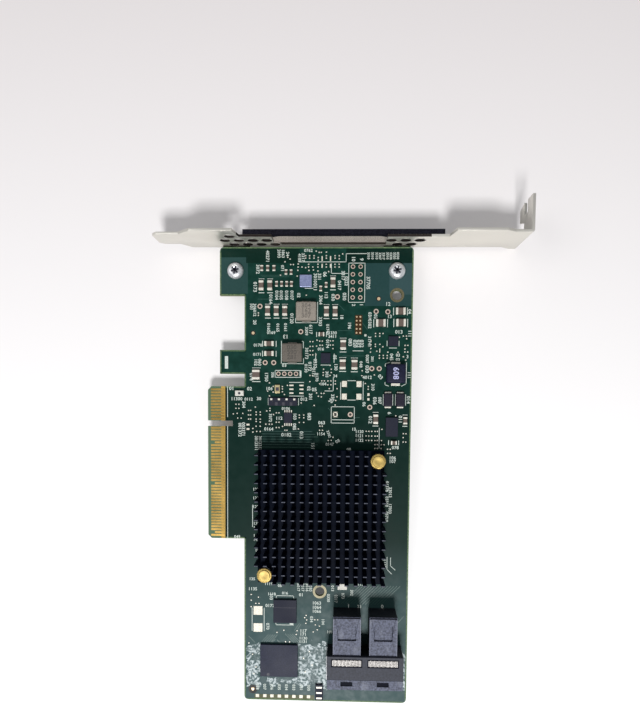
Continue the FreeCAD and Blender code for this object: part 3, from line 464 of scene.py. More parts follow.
class SinkSettings(PropertyGroup):
    """Sizes and colours of the heatsink."""
    anodised: FloatVectorProperty(name="Anodised Sides", description="Colour of the pins' sides and the base",
                                  default=paint(1, 5, 18), **COLOUR)
    # The pins' tops are the same anodising, painted lighter where light falls on them
    lit_top_tone: FloatVectorProperty(name="Pin Tops", description="Colour of the pins' top faces",
                                  default=paint(4, 10, 29), **COLOUR)
    rows: IntProperty(name="Rows", description="Rows of pins along the board", default=15, min=2, max=40)
    columns: IntProperty(name="Columns", description="Columns of pins across the board", default=15, min=2, max=40)
    row_pitch: FloatProperty(name="Row Pitch", description="Distance between rows of pins",
                             default=0.00301, min=0.001, max=0.01, **LENGTH)
    column_pitch: FloatProperty(name="Column Pitch", description="Distance between columns of pins",
                                default=0.00296, min=0.001, max=0.01, **LENGTH)


class PortSettings(PropertyGroup):
    """Sizes and colours of the cable port."""
    housing: FloatVectorProperty(name="Housing", description="Colour of the moulded housing",
                                 default=paint(76, 80, 96), **COLOUR)
    edge: FloatProperty(name="Edge Radius", description="Rounding of the housing's edges",
                        default=0.00012, min=0.00001, max=0.0005, **LENGTH)


class PartSettings(PropertyGroup):
    """Colours of the small parts."""
    ceramic: FloatVectorProperty(name="Ceramic", description="Colour of the ceramic capacitors",
                                 default=paint(104, 92, 84), **COLOUR)
    package: FloatVectorProperty(name="Package", description="Colour of the moulded packages",
                                 default=paint(33, 36, 52), **COLOUR)
    coil: FloatVectorProperty(name="Coil", description="Colour of the pressed coils",
                              default=paint(150, 142, 132), **COLOUR)


class StageSettings(PropertyGroup):
    """Floor, lamps and camera."""
    floor_near: FloatVectorProperty(name="Floor Near", description="Colour of the floor towards the viewer",
                                    default=paint(255, 255, 255), **COLOUR)
    # The far tone is painted shade, where the light falls off
    floor_far: FloatVectorProperty(name="Floor Far", description="Colour of the floor beyond the bracket",
                                   default=paint(228, 223, 223), **COLOUR)
    lamp_power: FloatProperty(name="Lamp Power", description="Power of the overhead softbox",
                              default=6.2, min=0.0, max=200.0, unit="POWER")
    world_level: FloatProperty(name="Surround Level", description="Brightness of the pale surround",
                               default=0.31, min=0.0, max=3.0)
    lens: FloatProperty(name="Lens", description="Focal length of the camera",
                        default=29.73, min=5.0, max=200.0, unit="CAMERA")


def tin_look(context):
    """Soldered tin, made the first time."""
    tone = tuple(context.scene.card_metal.tin)
    return bpy.data.materials.get("tin_plating") or plain_finish(
        "tin_plating", scaled(tone, 0.72), tone, 0.25, 0.5, 0.35, 0.25, gleam=0.3)


def in_box(tree, place, low, high):
    """One inside a rectangle of the board given by two corners in millimetres, zero outside."""
    wide = between(tree, place["X"], low[0] * MM, high[0] * MM)
    long = between(tree, place["Y"], (KEY_PLACE - high[1]) * MM, (KEY_PLACE - low[1]) * MM)
    return sum_of(tree, "MULTIPLY", wide, long)


# Copper areas under the mask, and a pale patch of painted glare: two corners in millimetres and their tone
MASK_AND_GLARE_ZONES = [
    ((4.6, 3.4), (13.6, 15.4), paint(42, 70, 68)),
    ((52.9, 5.3), (68.4, 19.4), paint(38, 66, 66)),
    ((61.0, 5.3), (68.4, 15.6), paint(54, 78, 80)),
    ((4.6, 0.5), (13.0, 3.4), paint(6, 38, 30)),
    ((13.0, 0.5), (31.0, 5.3), paint(6, 36, 28)),
    ((46.5, 0.5), (68.4, 5.3), paint(4, 32, 26)),
    ((19.0, 60.8), (36.0, 68.5), paint(6, 38, 34)),
    ((49.7, 22.4), (52.1, 28.9), paint(66, 44, 24)),
    # A pale patch of painted glare below the flash
    ((18.0, 146.8), (41.0, 153.4), paint(60, 80, 82)),
    ((16.1, 153.7), (37.0, 155.65), paint(80, 82, 50)),
    ((0.0, 46.0), (5.9, 99.0), paint(184, 152, 76)),
    ((0.0, 46.0), (0.9, 99.0), paint(150, 132, 52)),
    ((5.9, 46.0), (6.4, 99.0), paint(10, 22, 16)),
]


# Painted glare on the mask: patches of pale blotches, each between two corners in millimetres
GLARE_PATCHES = [((13.4, 136.2), (18.1, 150.8)), ((31.3, 135.4), (41.2, 148.6)), ((66.8, 138.6), (68.5, 151.0)),
          ((39.6, 138.0), (42.9, 151.6)), ((20.4, 147.6), (39.6, 149.9))]


# Tones that come in along the board, the second a painted glare growing towards the lower end: start and end on Y in
# metres, and their greatest share
GLARE_AND_TONE_RUNS = [(0.020, 0.0, paint(2, 33, 27)), (-0.040, -0.068, paint(50, 76, 77))]
FADE_SHARE = 0.9

# Tones of the outermost rim and of the painted glare's patches and specks, and how far the patches' edges wander in
# metres
RIM_TONE = paint(84, 108, 84)
GLARE_TONE = paint(78, 98, 99)
GLARE_SPECK = paint(190, 200, 202)
WANDER = 0.007

# Thicknesses in millimetres of rings, target rings, pads, copper dots, tiny ends, traces and rims
RING_HIGH = 0.03
TARGET_HIGH = 0.02
PAD_HIGH = 0.06
DOT_HIGH = 0.04
TINY_HIGH = 0.22
TRACE_HIGH = 0.012
RIM_HIGH = 0.006


class CARD_OT_board(Operator):
    """Finish the board: mask, copper areas, holes' rings, pads and printed marks"""
    bl_idname = "card.board"
    bl_label = "Board"

    def execute(self, context):
        settings = context.scene.card_board
        dressed("circuit_board", self.mask_look(settings))
        light = tuple(settings.mask_light)
        ridge = tuple(min(1.6 * channel + 0.01, 1.0) for channel in light)
        masked = plain_finish("masked_trace", light, ridge, 0.4, 0.4, 0.0, 0.1)
        lines("masked_traces", masked, TRACES, 0.16, TRACE_HIGH)
        self.rings()
        self.pads(context)
        self.print_marks(settings)
        return {"FINISHED"}

    def mask_look(self, settings):
        """Solder mask over laminate and copper, with painted glare towards the lower end; bare laminate at the
        board's edges.
        """
        look, tree, shader = new_look("solder_mask")
        coords = object_place(tree)
        place = axes_of(tree, coords)
        blotch = noise(tree, coords, 420.0, 5.0)
        weave = noise(tree, coords, 1600.0, 3.0)
        copper = ramp(tree, blotch, [(0.30, 0.0), (0.72, 1.0)])
        tone = blended(tree, copper, tuple(settings.mask), tuple(settings.mask_light))
        for start, end, colour in GLARE_AND_TONE_RUNS:
            tone = blended(tree, spread(tree, place["Y"], start, end, FADE_SHARE), tone, colour)
        worn = ramp(tree, weave, [(0.25, 0.8), (0.75, 1.0)])
        for low, high, colour in MASK_AND_GLARE_ZONES:
            zone = sum_of(tree, "MULTIPLY", in_box(tree, place, low, high), worn)
            tone = blended(tree, zone, tone, colour)
        tone = self.painted_glare(tree, coords, tone)
        body = in_box(tree, place, (13.0, 0.45), (68.45, 155.2))
        left = in_box(tree, place, (4.5, 0.45), (14.0, 99.0))
        tone = blended(tree, sum_of(tree, "MAXIMUM", body, left), RIM_TONE, tone)
        flat = sum_of(tree, "GREATER_THAN", sum_of(tree, "ABSOLUTE", facing(tree, "Z"), 0.0), 0.5)
        edge = blended(tree, weave, tuple(settings.laminate), scaled(settings.laminate, 0.7))
        tree.links.new(blended(tree, flat, edge, tone), shader.inputs["Base Color"])
        tree.links.new(ramp(tree, blotch, [(0.3, 0.34), (0.7, 0.46)]), shader.inputs["Roughness"])
        shader.inputs["Specular IOR Level"].default_value = 0.1
        relief(tree, shader, weave, 0.08, 0.00004)
        return look

    def painted_glare(self, tree, coords, tone):
        """Painted glare: pale patches with ragged edges and bright specks, over a tone."""
        speck = ramp(tree, noise(tree, coords, 1150.0, 5.0), [(0.44, 0.0), (0.55, 1.0)])
        shaken = ramp(tree, noise(tree, coords, 420.0, 3.0), [(0.36, 0.1), (0.52, 1.0)])
        glint = sum_of(tree, "MULTIPLY", speck, shaken)
        loose = self.loose_place(tree, coords)
        for low, high in GLARE_PATCHES:
            patch = in_box(tree, loose, low, high)
            tone = blended(tree, sum_of(tree, "MULTIPLY", patch, shaken), tone, GLARE_TONE)
            tone = blended(tree, sum_of(tree, "MULTIPLY", patch, glint), tone, GLARE_SPECK)
        return tone

    def loose_place(self, tree, coords):
        """The place with some wander, for patches with ragged edges."""
        wander = tree.nodes.new("ShaderNodeTexNoise")
        wander.inputs["Scale"].default_value = 520.0
        wander.inputs["Detail"].default_value = 4.0
        tree.links.new(coords, wander.inputs["Vector"])
        moved = tree.nodes.new("ShaderNodeVectorMath")
        moved.operation = "MULTIPLY_ADD"
        tree.links.new(wander.outputs["Color"], moved.inputs[0])
        moved.inputs[1].default_value = (WANDER, WANDER, 0.0)
        tree.links.new(coords, moved.inputs[2])
        back = tree.nodes.new("ShaderNodeVectorMath")
        tree.links.new(moved.outputs["Vector"], back.inputs[0])
        back.inputs[1].default_value = (-WANDER / 2, -WANDER / 2, 0.0)
        return axes_of(tree, back.outputs["Vector"])

    def rings(self):
        """Plated rings round the holes, dark barrels in them as painted shade, and test points."""
        bm, holes, wide = bmesh.new(), bmesh.new(), bmesh.new()
        for across, along, inner, outer in RINGS:
            ring_into(bm, across, along, inner, outer, 0.0, RING_HIGH)
        for across, along in HEADER_HOLES:
            # Dark barrels inside the header holes: painted shade, so that the holes look dark when seen into
            ring_into(holes, across, along, 0.14, 0.44, -1.5, -0.3, 12)
        for across, along in TEST_POINTS:
            ring_into(bm, across, along, 0.5, 0.84, 0.0, RING_HIGH)
            disc_into(holes, across, along, 0.5, 0.0, 0.012, 16)
        ring_into(bm, *LONE_HOLE, 0.46, 0.85, 0.0, RING_HIGH)
        for across, along, inner, outer in WIDE_RINGS:
            ring_into(wide, across, along, inner, outer, 0.0, TARGET_HIGH, 36)
        for name, mesh, look in (("hole_rings", bm, "plated_rings"), ("hole_shade_and_test_point_middles", holes, "hole_shade_and_dark_rings"),
                                 ("spare_hole_rings", wide, "bare_ring")):
            mended(mesh)
            piece(name, mesh, finish(look), smooth=30)

    def pads(self, context):
        """Bare solder pads, copper dots and the ends of the tiniest chips."""
        bricks("solder_pads", finish("pad_tin"), [(*pad, 0.0, PAD_HIGH, 0.03) for pad in PADS])
        lines("mask_rims", finish("mask_rim"), runs_of(RIM_LINES), 0.4, RIM_HIGH)
        ends = [(*middle, 0.46, 0.42, 0.0, TINY_HIGH, 0.08) for middle in TINY]
        bricks("tiny_chip_ends", tin_look(context), ends)
        dots, targets = bmesh.new(), bmesh.new()
        for across, along, radius in COPPER_DOTS:
            disc_into(dots, across, along, radius, 0.0, DOT_HIGH, 14)
        piece("copper_dots", dots, finish("bare_copper"))
        for across, along, inner, outer, sides in TARGETS:
            ring_into(targets, across, along, inner, outer, 0.0, TARGET_HIGH, sides)
        mended(targets)
        piece("target_rings", targets, finish("hole_shade_and_dark_rings"))

    def print_marks(self, settings):
        """Printed outlines, bars and plain numbers."""
        tone = tuple(settings.silk)
        ink = plain_finish("printed_ink", scaled(tone, 0.62), tone, 0.18, 0.6, 0.0, 0.2)
        high = settings.silk_height / MM
        width = settings.line_width / MM
        outlines = [((left, near), (right, near), (right, far), (left, far), (left, near))
                    for (left, near), (right, far) in FRAMES]
        bm = bmesh.new()
        for first, last in runs_of(outlines + LINES):
            line_into(bm, first, last, width, high)
        for bar in BARS:
            brick_into(bm, *bar, 0.0, high)
        for across, along, wide, long in CERAMICS:
            for side in (-1, 1):
                if long >= wide:
                    brick_into(bm, across, along + side * (long / 2 + 0.7), wide + 0.3, 0.24, 0.0, high)
                else:
                    brick_into(bm, across + side * (wide / 2 + 0.7), along, 0.24, long + 0.3, 0.0, high)
        piece("printed_lines", bm, ink)
        shapes = digit_shapes()
        bm = bmesh.new()
        for (tall, turn), marks in NUMBERS.items():
            for digits, across, along in marks:
                number_into(bm, shapes, digits, across, along, high, tall, turn)
        piece("printed_numbers", bm, ink)
        for shape in shapes.values():
            bpy.data.meshes.remove(shape)


# Outline of the component side, just inside its edges: the points of each stretch
RIM_LINES = [
    ((68.65, 153.8), (68.65, 1.85)), ((67.1, 0.25), (6.0, 0.25)),
    ((4.4, 1.85), (4.4, 15.75), (12.75, 15.75), (12.75, 34.45), (4.4, 34.45), (4.4, 41.95), (12.75, 41.95),
     (12.75, 46.7), (6.2, 46.7)),
    ((6.2, 98.4), (12.75, 98.4), (12.75, 153.8)), ((14.3, 155.4), (67.1, 155.4)),
]


# Capacitors: middle, X size and Y size
CERAMICS = [
    (18.2, 12.8, 1.6, 3.2), (21.1, 12.8, 1.6, 3.2), (20.4, 21.2, 1.6, 3.2), (23.3, 21.2, 1.6, 3.2),
    (26.15, 21.2, 1.6, 3.2), (42.2, 11.8, 1.6, 3.2), (40.1, 21.3, 1.6, 3.2), (43.0, 21.3, 1.6, 3.2),
    (57.0, 57.2, 1.6, 3.2), (45.8, 32.4, 1.9, 3.2), (45.7, 38.9, 2.0, 3.2), (49.65, 39.0, 2.0, 3.2),
    (16.5, 42.5, 2.5, 3.2), (66.9, 57.6, 1.3, 2.4), (64.8, 21.2, 3.2, 2.2), (58.25, 25.1, 3.2, 2.4),
    (64.95, 25.0, 3.2, 2.4), (20.9, 32.1, 3.2, 1.6), (20.9, 35.4, 3.2, 1.6), (38.5, 28.9, 1.9, 1.3),
    (63.2, 65.1, 2.0, 1.25),
]
CHIPS = [
    (18.3, 7.0, 1.0, 1.9), (20.3, 7.0, 1.0, 1.9), (22.4, 7.0, 1.0, 1.9), (26.45, 8.3, 0.9, 1.7),
    (28.15, 8.3, 0.9, 1.7), (23.3, 12.2, 0.9, 1.8), (25.0, 12.2, 0.9, 1.8), (26.7, 12.2, 0.9, 1.8),
    (28.3, 12.2, 0.9, 1.8), (38.1, 13.7, 0.9, 1.8), (39.9, 12.5, 0.9, 1.8),
]

# Rings round holes: middle, inner and outer radius
RINGS = [(48.8 + 2.54 * column, 6.45 + 2.54 * row, 0.46, 0.72) for column in range(2) for row in range(5)]
RINGS += [(24.0 + 2.0 * step, 42.1, 0.46, 0.74) for step in range(4)]
LONE_HOLE = (48.45, 55.7)
HEADER_HOLES = [(across, along) for across, along, inner, outer in RINGS] + [(43.4, 55.7), LONE_HOLE]
WIDE_RINGS = [(63.6, 15.8, 1.62, 2.35), (38.6, 116.8, 1.62, 2.4)]

# Test points: a ring with a dark middle
TEST_POINTS = [(17.7, 19.6), (43.7, 16.4), (56.7, 21.2), (60.6, 21.3), (31.5, 28.0), (19.5, 38.4), (22.4, 38.4),
               (55.5, 40.2), (58.0, 40.2), (55.0, 53.2)]

# Dark target rings: middle, inner and outer radius, and sides
TARGETS = [(15.5, 151.9, 0.45, 1.55, 32), (57.5, 17.0, 0.55, 0.85, 24), (15.4, 28.5, 0.55, 0.85, 24)]

# Pads: middle, X size and Y size
PADS = [(x, v, 1.4, 0.5) for x in (28.45, 31.85) for v in (46.0, 47.3, 48.6)]
PADS += [(x, v, 1.7, 2.0) for x in (46.35, 51.3) for v in (45.4, 49.65)]
PADS += [(x, 154.2, 1.2, 1.1) for x in (17.1, 19.7, 22.2, 24.8, 27.3, 29.9, 32.4, 35.0)]
PADS += [(17.25, 123.85, 3.1, 3.1), (17.25, 129.9, 3.1, 3.0), (13.7, 59.4, 1.0, 0.6), (13.7, 60.9, 1.0, 0.6)]
PADS += [(54.5, 48.9, 0.75, 0.9), (54.5, 50.5, 0.75, 0.8), (43.4, 55.0, 1.6, 0.4), (43.4, 56.4, 1.6, 0.4),
         (42.8, 55.7, 0.4, 1.6), (44.0, 55.7, 0.4, 1.6), (38.5, 3.8, 0.4, 1.6), (41.3, 3.8, 0.4, 1.6),
         (38.5, 6.2, 0.4, 1.3), (41.3, 6.2, 0.4, 1.3), (58.1, 34.2, 0.3, 1.4)]

# Bare copper dots: middle and radius
COPPER_DOTS = [(57.5, 17.0, 0.55), (15.4, 28.5, 0.5), (15.5, 151.9, 0.45)]
COPPER_DOTS += [(x, v, 0.3) for x in (50.25, 51.45) for v in (23.0, 24.3, 25.6, 27.0, 28.3)]

# Tiny soldered chips: middles of their bright ends
TINY = [
    (33.0, 2.9), (34.3, 2.9), (35.8, 2.9), (33.0, 3.7), (34.3, 3.7), (35.8, 3.7), (37.2, 3.5), (37.2, 4.4),
    (39.9, 1.7), (39.9, 2.9), (39.9, 3.7), (42.8, 2.9), (42.8, 3.7), (44.2, 2.9), (44.2, 3.9), (36.5, 1.4),
    (37.5, 1.8), (38.2, 1.8), (45.3, 2.3), (37.1, 5.7), (37.1, 6.6), (39.9, 5.7), (39.9, 6.6), (42.8, 5.7),
    (42.8, 6.6), (44.2, 5.7), (44.2, 6.6), (40.7, 8.1), (39.3, 8.9), (28.0, 5.8), (28.9, 5.8), (30.5, 5.6),
    (30.5, 6.6), (31.8, 6.6), (33.0, 6.8), (34.0, 5.7), (34.0, 6.6), (35.4, 6.6), (30.4, 7.7), (34.1, 7.7),
    (35.6, 7.6), (37.1, 7.9), (26.1, 4.9), (27.0, 3.4), (27.8, 4.0), (24.6, 9.3), (30.2, 9.6), (33.3, 15.9),
    (17.2, 21.8), (17.2, 22.6), (9.6, 52.5), (10.6, 52.5), (9.6, 53.9), (10.6, 53.9), (8.7, 55.8),
    (16.2, 53.4), (13.9, 54.6), (14.6, 54.6), (10.0, 55.6), (11.9, 55.6), (10.2, 57.2), (11.4, 57.2),
    (13.9, 56.1), (14.6, 56.1), (13.9, 57.5), (14.6, 57.5), (16.5, 55.1), (17.9, 55.1), (16.5, 56.0),
    (17.9, 56.0), (16.5, 57.5), (17.9, 57.5), (16.5, 58.3), (17.9, 58.5), (16.5, 59.9), (17.9, 59.9),
    (16.7, 61.7), (17.9, 61.7), (15.4, 60.7), (15.4, 61.9), (20.1, 54.7), (21.2, 53.8), (21.2, 54.6),
    (23.4, 55.3), (24.3, 55.3), (22.4, 55.9), (23.4, 58.5), (24.3, 58.5), (23.4, 60.3), (24.3, 60.3),
    (19.8, 59.2), (21.0, 59.2), (21.9, 59.2), (25.5, 59.9), (26.3, 61.2), (27.0, 61.2), (31.2, 56.0),
    (32.7, 56.0), (31.2, 56.9), (32.7, 56.9), (31.2, 58.5), (32.7, 58.5), (30.9, 60.7), (31.8, 51.9),
    (36.2, 52.7), (21.0, 49.6), (20.4, 48.0), (22.3, 46.4), (22.3, 48.3), (25.4, 46.4), (25.4, 47.2),
    (25.4, 48.2), (26.1, 49.1), (27.1, 46.0), (21.0, 45.2), (34.7, 31.3), (35.6, 31.3), (34.7, 32.9),
    (35.6, 32.9), (34.7, 34.3), (35.6, 34.3), (34.7, 35.7), (35.6, 35.7), (36.7, 35.7), (37.0, 30.8),
    (37.9, 31.1), (38.8, 31.1), (36.9, 32.8), (38.0, 32.5), (38.8, 32.5), (41.5, 31.0), (42.4, 31.0),
    (41.5, 32.4), (42.4, 32.4), (42.4, 33.6), (39.3, 40.5), (41.9, 40.5), (41.9, 41.6), (39.2, 41.6),
    (39.2, 42.5), (41.5, 42.6), (34.7, 42.6), (35.6, 42.6), (34.7, 44.7), (38.7, 44.4), (39.6, 44.4),
    (40.8, 44.4), (41.8, 44.4), (43.3, 44.4), (38.0, 45.4), (40.8, 45.7), (41.8, 45.7), (43.3, 45.4),
    (41.3, 47.0), (43.9, 47.0), (37.0, 48.5), (37.6, 49.6), (38.6, 48.6), (39.5, 48.6), (38.6, 49.8),
    (43.9, 49.7), (43.5, 51.0), (43.3, 52.5), (41.5, 39.2), (53.2, 29.1), (56.6, 28.5), (58.0, 28.5),
    (59.1, 28.5), (56.6, 29.4), (58.0, 29.4), (56.6, 32.1), (56.6, 32.8), (58.1, 32.1), (59.1, 32.9),
    (57.1, 34.4), (55.0, 34.7), (58.0, 35.8), (59.3, 35.8), (60.6, 35.8), (58.0, 36.7), (59.3, 36.7),
    (60.6, 36.7), (60.8, 34.7), (64.2, 34.7), (55.1, 31.0), (55.1, 32.2), (55.1, 33.5), (65.9, 29.3),
    (66.9, 29.3), (64.6, 29.7), (67.0, 30.2), (66.5, 32.4), (67.4, 32.4), (66.5, 33.6), (66.5, 34.6),
    (67.4, 34.6), (66.0, 36.2), (66.8, 37.3), (56.4, 42.3), (52.2, 42.6), (52.3, 40.9), (53.4, 45.2),
    (54.4, 46.2), (54.4, 47.1), (56.9, 65.8), (57.7, 65.8), (59.1, 65.8), (60.0, 65.8), (56.9, 67.1),
    (57.7, 67.1), (59.0, 67.1), (61.2, 67.3), (62.1, 67.3), (61.2, 68.7), (62.1, 68.7), (59.1, 64.4),
    (59.2, 60.6), (66.4, 62.0), (67.3, 62.0), (66.4, 63.3), (66.4, 64.8), (67.3, 64.8), (63.8, 56.0),
    (38.1, 61.1), (39.1, 61.1), (41.1, 64.5), (42.1, 64.5), (42.7, 63.4), (38.2, 59.7), (39.0, 59.7),
    (14.9, 118.2), (14.9, 120.2), (14.9, 122.5), (17.4, 119.1), (16.5, 121.3), (17.6, 121.3), (30.9, 130.7),
    (30.6, 132.0), (34.0, 125.2), (33.5, 126.0), (34.2, 126.8), (33.9, 128.0), (37.0, 126.7), (38.0, 126.7),
    (26.3, 130.6), (23.9, 131.4), (26.9, 134.7), (28.3, 134.7), (14.1, 135.4), (37.2, 128.5), (38.6, 128.9),
    (37.9, 130.2), (36.5, 131.0), (33.2, 140.4), (35.2, 138.0), (33.8, 145.3), (36.2, 142.8), (15.4, 139.4),
    (16.6, 143.9), (15.9, 146.3),
]
TINY += [(x, v) for v in (61.3, 62.9, 64.4) for x in (53.9, 54.8, 55.8, 56.9, 57.7)]

# Printed outlines: two corners
FRAMES = [((47.4, 5.3), (52.8, 18.2)), ((22.9, 41.0), (31.7, 43.3)), ((42.0, 53.1), (49.8, 58.6))]

# Printed lines: the points of each
LINES = [
    ((31.0, 4.9), (46.5, 4.9), (46.5, 2.2), (53.3, 2.2)), ((41.6, 5.5), (41.6, 8.7), (47.0, 8.7)),
    ((42.0, 57.5), (49.8, 57.5)), ((60.0, 38.6), (61.6, 38.0)), ((60.0, 38.6), (60.0, 39.4)),
    ((60.0, 45.6), (61.2, 46.0)), ((67.1, 38.2), (67.1, 45.2), (65.6, 46.0)), ((60.0, 44.8), (60.0, 45.6)),
    ((27.8, 45.0), (32.6, 45.0)), ((27.8, 49.6), (32.6, 49.6)), ((45.1, 45.0), (45.1, 50.6)),
    ((52.7, 44.6), (52.7, 50.8)), ((47.5, 44.3), (50.1, 44.3)), ((47.5, 50.8), (50.1, 50.8)),
    ((15.2, 123.0), (15.2, 131.0)), ((19.4, 123.0), (19.4, 131.0)), ((23.6, 118.5), (29.6, 118.5)),
    ((23.6, 118.5), (23.6, 119.2)), ((29.6, 118.5), (29.6, 119.2)), ((23.5, 128.8), (29.6, 128.8)),
    ((23.5, 128.0), (23.5, 128.8)), ((15.3, 87.0), (15.3, 94.5)), ((6.7, 46.5), (6.7, 56.8)),
    ((6.7, 60.0), (6.7, 98.5)), ((25.0, 31.2), (25.0, 38.6)), ((25.4, 38.7), (32.4, 38.7)),
    ((32.5, 37.0), (32.5, 38.7)), ((32.0, 31.2), (32.4, 31.2), (32.4, 33.4)), ((29.8, 25.0), (37.0, 25.0)),
    ((37.1, 18.2), (37.1, 25.0)), ((29.7, 23.6), (29.7, 24.8)), ((58.3, 60.2), (58.3, 67.0)),
    ((49.1, 34.3), (52.5, 34.3)), ((60.5, 31.0), (60.5, 32.6)), ((64.5, 31.0), (64.5, 32.6)),
    ((61.3, 33.3), (63.7, 33.3)), ((42.6, 43.4), (42.6, 47.8), (39.8, 47.8)), ((32.9, 13.6), (35.5, 13.6)),
    ((59.5, 48.9), (59.5, 52.4)), ((62.7, 48.9), (62.7, 52.4)), ((63.6, 48.9), (63.6, 52.4)),
    ((67.0, 48.9), (67.0, 52.4)), ((61.6, 104.4), (61.6, 108.6), (63.2, 110.2)),
    ((62.8, 104.6), (62.8, 107.4), (64.4, 108.8)), ((36.6, 35.2), (36.6, 38.4)),
    ((42.8, 35.4), (42.8, 38.2)), ((38.4, 39.1), (41.2, 39.1)), ((20.6, 50.4), (20.6, 52.6)),
    ((30.9, 50.4), (30.9, 52.6)),
]

# Printed bars: middle, X size and Y size
BARS = [(6.35, 38.4, 1.1, 4.2), (28.9, 128.5, 1.3, 0.7), (31.4, 42.1, 0.4, 1.8), (53.2, 29.1, 0.7, 0.7)]

